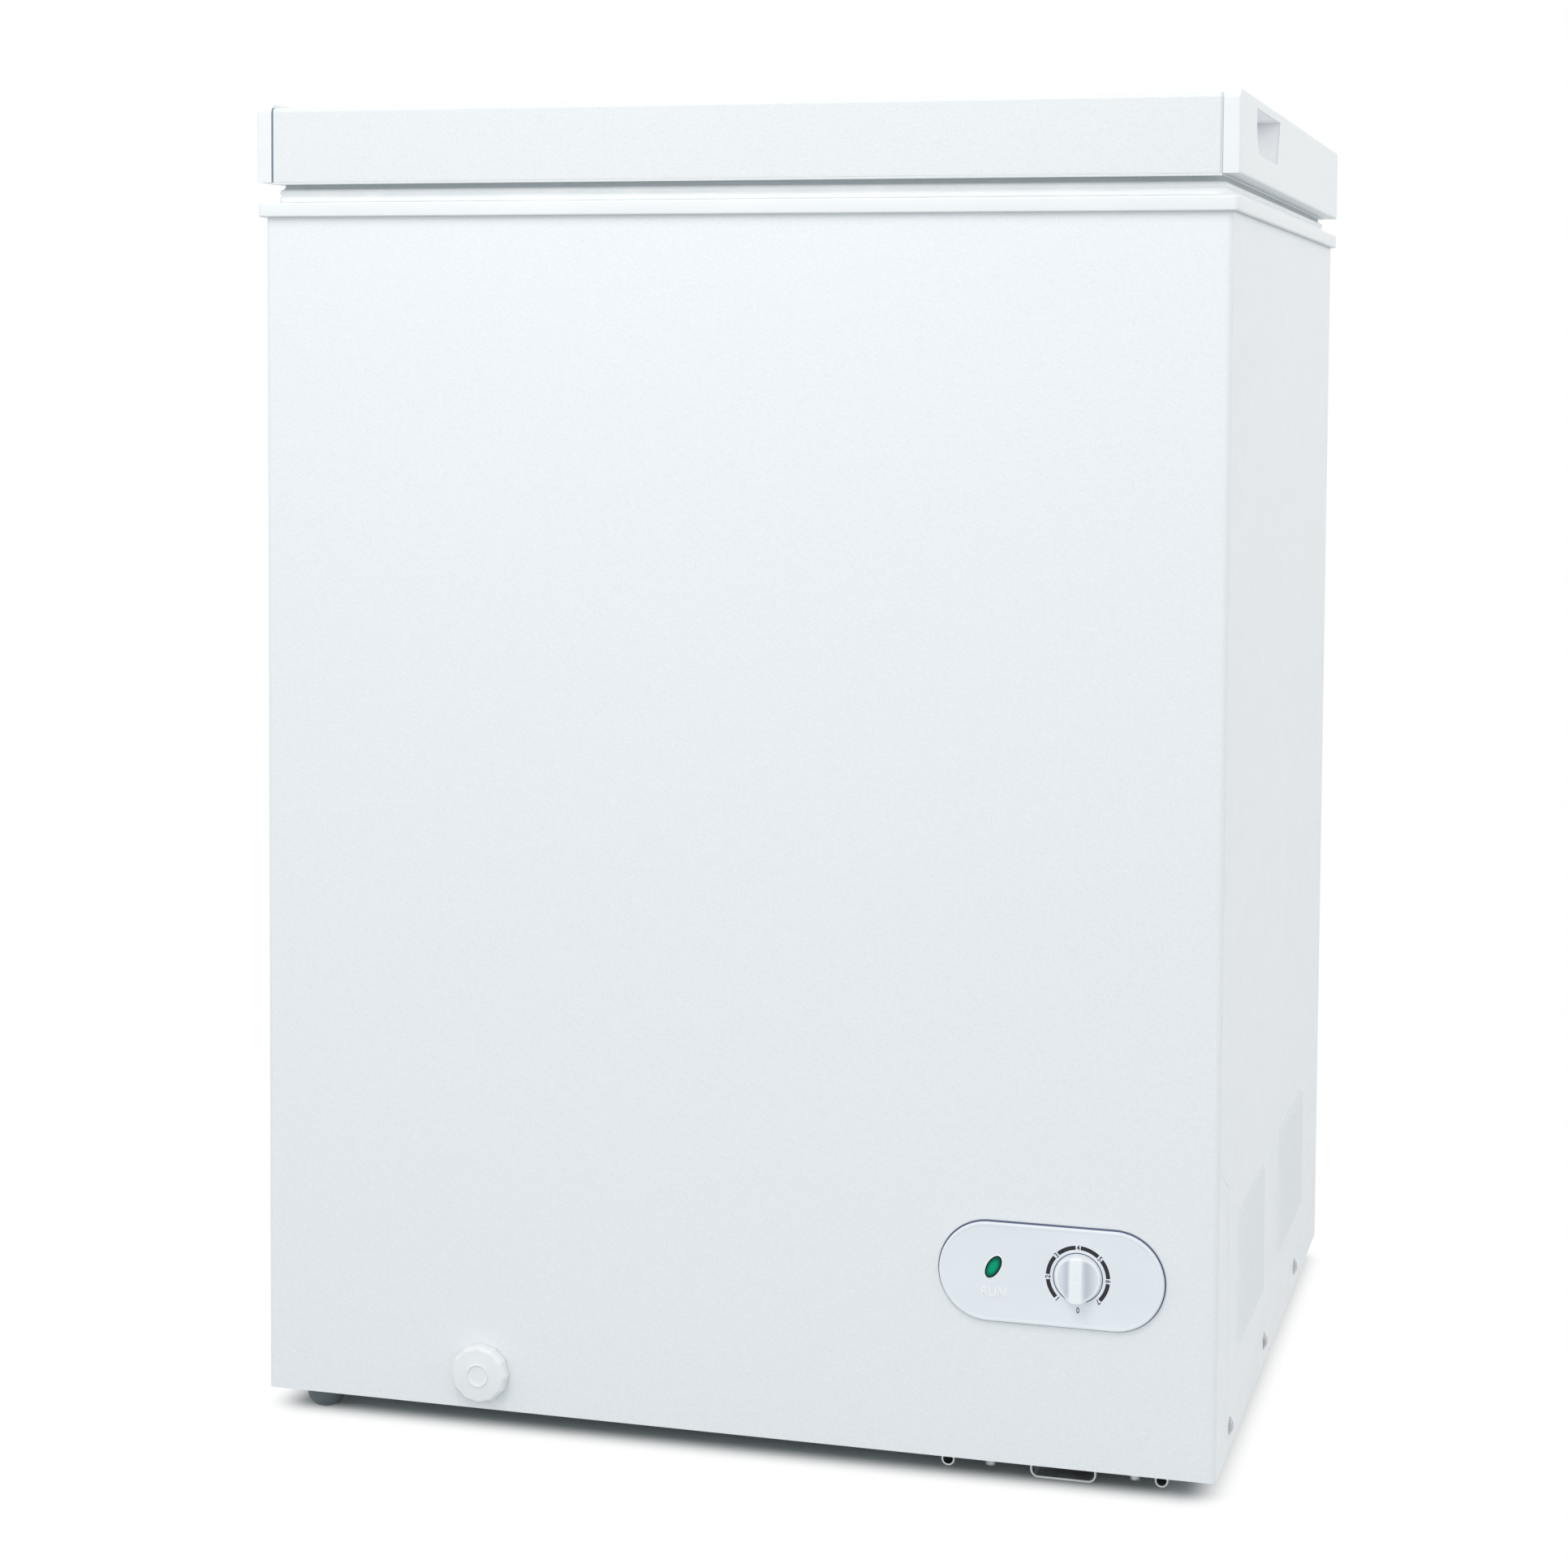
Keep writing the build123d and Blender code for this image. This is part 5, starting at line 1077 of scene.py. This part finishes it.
# %% Tubes
def tube(path, radius, sides=12, reference=(0, 0, 1), closed=False):
    """A round bar along a path: a circle square to the direction at each point. Its two side directions
    are direction x reference and direction x side. Open ends are closed by a ring of no size."""
    path = np.asarray(path, float)
    if closed:
        along = np.roll(path, -1, 0) - np.roll(path, 1, 0)
    else:
        along = np.gradient(path, axis=0)
    along /= np.linalg.norm(along, axis=1, keepdims=True)
    side = np.cross(along, np.asarray(reference, float))
    side /= np.linalg.norm(side, axis=1, keepdims=True)
    other = np.cross(along, side)
    size = np.broadcast_to(np.asarray(radius, float), len(path)).copy()
    if not closed:
        path, side, other = (np.concatenate([v[:1], v, v[-1:]]) for v in (path, side, other))
        size = np.concatenate([[0.0], size, [0.0]])
    a = np.linspace(0, 2 * pi, sides, endpoint=False)
    ring = np.cos(a)[:, None] * side[:, None] + np.sin(a)[:, None] * other[:, None]
    return skin(path[:, None] + size[:, None, None] * ring, wrap_rows=closed)


def bent_path(corners, radius, steps=8):
    """A rigid tube's middle line: straight runs joined by arcs that touch both runs at each corner."""
    corners = np.asarray(corners, float)
    line = [corners[:1]]
    for before, corner, after in zip(corners[:-2], corners[1:-1], corners[2:]):
        u = (before - corner) / np.linalg.norm(before - corner)
        v = (after - corner) / np.linalg.norm(after - corner)
        half = np.arccos(np.clip(u @ v, -1, 1)) / 2
        middle = corner + (u + v) / np.linalg.norm(u + v) * radius / np.sin(half)
        start = corner + u * radius / np.tan(half) - middle
        end = corner + v * radius / np.tan(half) - middle
        t = np.linspace(0, 1, steps + 1)[:, None]
        swing = np.arccos(np.clip(start @ end / radius ** 2, -1, 1))
        line.append(middle + (np.sin((1 - t) * swing) * start + np.sin(t * swing) * end) / np.sin(swing))
    return np.concatenate(line + [corners[-1:]])

# %% Bent lines
def collared(path, radius, collar=1.5 * MM, length=6 * MM):
    """A tube whose first few millimetres swell into a brazed joint."""
    step = np.linalg.norm(np.diff(path, axis=0), axis=1)
    reach = np.concatenate([[0], np.cumsum(step)])
    along = np.union1d(reach, np.linspace(0, 2 * length, 9))
    fine = np.stack([np.interp(along, reach, path[:, i]) for i in range(3)], -1)
    swell = collar * 0.5 * (1 - np.tanh((along - length) / (0.16 * length)))
    return fine, radius + swell * (along < 2 * length)


def copper_piece(made, name, shape):
    """One copper piece for the node of that name."""
    return piece(made, shape, copper_tube, "cabinet", [name], 50)


low, high = box_of("suction_line")
x, bend = (low[0] + high[0]) / 2, low[1:] + 4 * MM
line = bent_path([(x, high[1], bend[1]), (x, *bend), (x, bend[0], high[2])], 14 * MM)
path, radius = collared(line, 4 * MM)
copper_piece("suction_tube", "suction_line", tube(path, np.minimum(radius, 4.9 * MM), 20, (1, 0, 0)))
low, high = box_of("liquid_line")
(x0, y0, z0), (x1, y1, _) = low + 2.5 * MM, high - 2.5 * MM
corners = [(low[0], y0, z0), (x1, y0, z0), (x1, y1, z0), (x1, y1, high[2])]
liquid = tube(bent_path(corners, 12 * MM), 2.5 * MM, 16, (0.3, 0.2, 1))
copper_piece("liquid_tube", "liquid_line", liquid)

# %% Straight lines and drier
for name, made, along, reference in (
    ("discharge_line", "discharge_tube", 0, (0, 0, 1)), ("capillary_tube", "capillary_line", 2, (0, 1, 0)),
):
    low, high = box_of(name)
    ends = np.array([(low + high) / 2] * 2)
    ends[:, along] = high[along], low[along]
    path, radius = collared(ends, (high - low)[1] / 2, 0.0)
    copper_piece(made, name, tube(path, radius, 16, reference))
can = [
    (0, 0), (3.2, 0), (3.2, 7), (8.6, 19), (9, 21), (9, 27), (8.6, 28), (9, 29), (9, 57), (8.6, 58), (9, 59),
    (9, 63), (8.4, 66), (2.4, 76), (2.2, 84), (0, 84),
]
can_foot = (*centre_of("filter_drier")[0][:2], box_of("filter_drier")[0, 2])
copper_piece("drier_can", "filter_drier", turned(can, can_foot, (0, 0, 1), 36, soft=1.2))

# %% [markdown]
# ## Hinge springs
# Each hinge holds a compression spring between its channel's foot and the sliding block under the cam. The
# wire is a helix: (R cos a, R sin a, z), where z climbs slowly in the first and last turn, which lie
# closed, and faster between them. When the lid opens the block rises and the spring grows with it; the
# piece is made at rest and rides on no body.

# %% Hinge springs
def coil_spring(low, high, wire_radius, turns=7.5, steps=30):
    """A helix between two heights with closed end turns; the pitch is a smooth hump along the wire."""
    t = np.linspace(0, 1, int(turns * steps) + 1)
    pitch = 0.42 + np.clip(np.minimum(t, 1 - t) * turns / 1.2 - 0.6, 0, 1)
    climb = np.concatenate([[0], np.cumsum((pitch[1:] + pitch[:-1]) / 2)])
    climb /= climb[-1]
    radius = (high[0] - low[0]) / 2 - wire_radius - 0.5 * MM
    centre = (low + high) / 2
    a = 2 * pi * turns * t
    z = low[2] + wire_radius + climb * (high[2] - low[2] - 2 * wire_radius)
    path = np.stack([centre[0] + radius * np.cos(a), centre[1] + radius * np.sin(a), z], -1)
    return tube(path, wire_radius, 10)

# %% Both springs
for side in ("left", "right"):
    low, high = box_of("hinge_spring_" + side)
    wire_coil = coil_spring(low, high, 1.15 * MM)
    node = "hinge_spring_" + side
    spring = piece("spring_" + side, wire_coil, bright_steel, None, [node], 60)
    x, y = (low[0] + high[0]) / 2, (low[1] + high[1]) / 2
    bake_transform(spring)

# %% [markdown]
# ## Wire basket
# The basket hangs on the shelf round the mouth. It is welded from coated wire: rings of thick wire round
# the walls, thick wires bent to a U across and along, thinner wires between them, and two hooks at each
# end. Each wire is a tube along straight runs and bends.

# %% Wire basket
basket_low, basket_high = box_of("basket")
hook_reach, thick, thin = 12 * MM, 2.0 * MM, 1.1 * MM
left, right = basket_low[0] + thick, basket_high[0] - thick
front, back = basket_low[1] + thick, basket_high[1] - thick
near, far = front + hook_reach, back - hook_reach
ground, brim = basket_low[2] + thick, basket_high[2] - thick


def basket_ring(z, radius):
    """A closed ring of wire round the walls at this height."""
    x, y = round_rectangle((right - left) / 2, (far - near) / 2, 25 * MM, 8)
    middle = ((left + right) / 2, (near + far) / 2)
    path = np.stack([x[0] + middle[0], y[0] + middle[1], np.full(x.shape[1], z)], -1)
    return tube(path, radius, 10, closed=True)


def u_wire(start, axis, radius, lift):
    """A wire down one wall, over the floor and up the other; axis 0 runs along x, 1 along y."""
    corners = np.zeros((4, 3))
    corners[:, 1 - axis] = start
    corners[:, axis] = (near, near, far, far) if axis else (left, left, right, right)
    corners[:, 2] = (brim, ground + lift, ground + lift, brim)
    return tube(bent_path(corners, 9 * MM, 5), radius, 8, (1, 0, 0) if axis else (0, 1, 0))


def halfway(places):
    """The middles between neighbours."""
    return (places[:-1] + places[1:]) / 2

# %% The basket
levels, across, along = np.linspace(ground, brim, 4), np.linspace(near, far, 8), np.linspace(left, right, 5)
wires = [basket_ring(z, thick) for z in levels]
wires += [basket_ring(z, thin) for z in halfway(levels[1:])]
for places, axis, lift, thin_lift in ((across, 0, 2 * MM, 2 * MM), (along, 1, 0.0, 0.5 * MM)):
    wires += [u_wire(place, axis, thick, lift) for place in places[1:-1]]
    wires += [u_wire(place, axis, thin, thin_lift) for place in halfway(places[1:-1])]
for inner, outer in ((near, front), (far, back)):
    for x0, x1 in ((left + 25 * MM, along[1]), (along[3], right - 25 * MM)):
        hook = [(x0, inner, brim), (x0, outer, brim), (x1, outer, brim), (x1, inner, brim)]
        wires.append(tube(bent_path(hook, 5 * MM, 5), thick, 10))
piece("wire_basket", gather(wires), wire_coat, "basket", ["basket"], 50)

# %% [markdown]
# ## Lead bush and drain stopper
# The bush in the rear cover is a turned ring with a flange, and the stopper in the tank's floor is a
# turned rubber plug with a flat tab to pull it by: a stack of narrow rounded rectangles.

# %% Lead bush
gland_centre, gland_front = centre_of("cable_gland")[0], box_of("cable_gland")[0, 1]
bush_line = [(4.1, 0), (9, 0), (9, 5.2), (12, 5.2), (12, 7.2), (10.6, 9), (5.4, 9), (4.1, 8)]
bush_place = (gland_centre[0], gland_front, gland_centre[2])
bush = turned(bush_line, bush_place, (0, 1, 0), 40, True, 0.7)
piece("lead_bush", bush, black_moulding, "cabinet", ["cable_gland"], 40)

# %% Drain stopper
plug_foot = (*centre_of("drain_plug")[0][:2], box_of("drain_plug")[0, 2])
plug_line = [
    (0, 0), (6.6, 0), (7.6, 3), (7.7, 11.8), (12.7, 12.3), (13, 13.4), (12.4, 14.8), (9.5, 15.2), (0, 15.2),
]
plug = turned(plug_line, plug_foot, (0, 0, 1), 40, soft=0.6)
tab_width = np.array([14.0, 14.0, 13.6, 11.2, 6.4, 0.4]) * MM
tab_height = np.array([14.6, 19.0, 22.6, 24.6, 25.6, 25.8]) * MM
tab_thickness, tab_corner = 3.0 * MM, 1.0 * MM
x, y = round_rectangle(tab_width / 2, tab_thickness / 2, np.minimum(tab_width / 2, tab_corner), 4)
z = np.broadcast_to(tab_height[:, None], x.shape)
tab = skin(np.stack([x, y, z], -1) + plug_foot)
piece("drain_stopper", gather([plug, tab]), seal_vinyl, "drain_plug", ["drain_plug"], 40)

# %% [markdown]
# ## Floor and light
# A plain white sweep and even light, as in a product studio. The surroundings are bright walls under a
# darker ceiling, so that upright faces and top faces come out about equally bright. A soft lamp above the
# front makes it fall off a little towards the floor, and a weaker one at the right lights that side.
# The floor takes light like white card. What the camera and reflections see of it turns to plain white a
# few centimetres from the foot of the freezer, so that only the contact shadow is left. How far a place
# is from the foot comes from Object coordinates: the length of the part that sticks out of the plan.
# From below the floor is clear, so that the underside can be looked at.

# %% White floor
def seen_directly(owner):
    """1 for camera, glossy and transmission rays, 0 for the rays that light the scene."""
    rays = put(owner, "ShaderNodeLightPath").outputs
    either = reckon(owner, "MAXIMUM", rays["Is Camera Ray"], rays["Is Glossy Ray"])
    return reckon(owner, "MAXIMUM", either, rays["Is Transmission Ray"])


def mix_shaders(material, factor, first, second):
    """The first shader where factor is 0, the second where it is 1."""
    return put(material, "ShaderNodeMixShader", [(0, factor), (1, first), (2, second)]).outputs[0]


def white_floor(name, middle, half, fade):
    """White card that is seen as plain white from a distance of fade beyond the freezer's plan on."""
    card = new_material(name, (0.5, 0.55, 0.56), 0.9)
    where = put(card, "ShaderNodeTexCoord").outputs["Object"]
    beyond = vector_steps(
        card, where, ("SUBTRACT", middle), ("ABSOLUTE",), ("SUBTRACT", half), ("MAXIMUM", (0, 0, 0))
    )
    away = put(card, "ShaderNodeVectorMath", [(0, beyond)], operation="LENGTH").outputs["Value"]
    whitened = reckon(card, "MULTIPLY", between(card, away, 0.0, 1.0, 0.0, fade), seen_directly(card))
    lit = card.node_tree.nodes["Principled BSDF"].outputs[0]
    from_above = mix_shaders(card, whitened, lit, put(card, "ShaderNodeEmission").outputs[0])
    below = put(card, "ShaderNodeNewGeometry").outputs["Backfacing"]
    seen = mix_shaders(card, below, from_above, put(card, "ShaderNodeBsdfTransparent").outputs[0])
    card.node_tree.links.new(seen, card.node_tree.nodes["Material Output"].inputs["Surface"])
    return card

# %% Soft lamps
def soft_lamp(name, place, aim, size, power):
    """A square soft box at place, turned towards aim."""
    light = bpy.data.lights.new(name, "AREA")
    light.size, light.energy = size, power
    back = np.array(place, float) - np.array(aim, float)
    back /= np.linalg.norm(back)
    right = np.cross((0.0, 0.0, 1.0), back)
    right /= np.linalg.norm(right)
    stand(add_object(name, light), place, right, np.cross(back, right))

# %% Studio
world = bpy.data.worlds.new("studio")
bpy.context.scene.world = world
world.use_nodes = True
wall_light, ceiling_light = 1.49, 0.4
way = put(world, "ShaderNodeTexCoord").outputs["Generated"]
up = put(world, "ShaderNodeSeparateXYZ", [(0, way)]).outputs["Z"]
sky = put(world, "ShaderNodeMapRange", [("Value", up), ("To Min", wall_light), ("To Max", ceiling_light)])
level = [("Value", seen_directly(world)), ("To Min", sky.outputs["Result"]), ("To Max", 1.0)]
level = put(world, "ShaderNodeMapRange", level).outputs["Result"]
background = world.node_tree.nodes["Background"].inputs
background["Color"].default_value = (1.0, 1.0, 1.0, 1.0)
world.node_tree.links.new(level, background["Strength"])
soft_lamp("key", place=(-0.15, -1.25, 1.75), aim=(0.0, -0.28, 0.8), size=0.9, power=9.0)
soft_lamp("side", place=(1.3, 0.1, 1.5), aim=(0.31, 0.0, 0.65), size=0.9, power=2.4)

floor_half = 20
floor_mesh = bpy.data.meshes.new("floor")
floor_corners = [(x * floor_half, y * floor_half, 0) for x, y in ((-1, -1), (1, -1), (1, 1), (-1, 1))]
floor_mesh.from_pydata(floor_corners, [], [(0, 1, 2, 3)])
card = white_floor("floor_white", middle=(0.0, -0.0045, 0.0), half=(0.287, 0.252, 1.0), fade=0.034)
floor_mesh.materials.append(card)
add_object("floor", floor_mesh)
bpy.context.scene.view_settings.view_transform = "Standard"
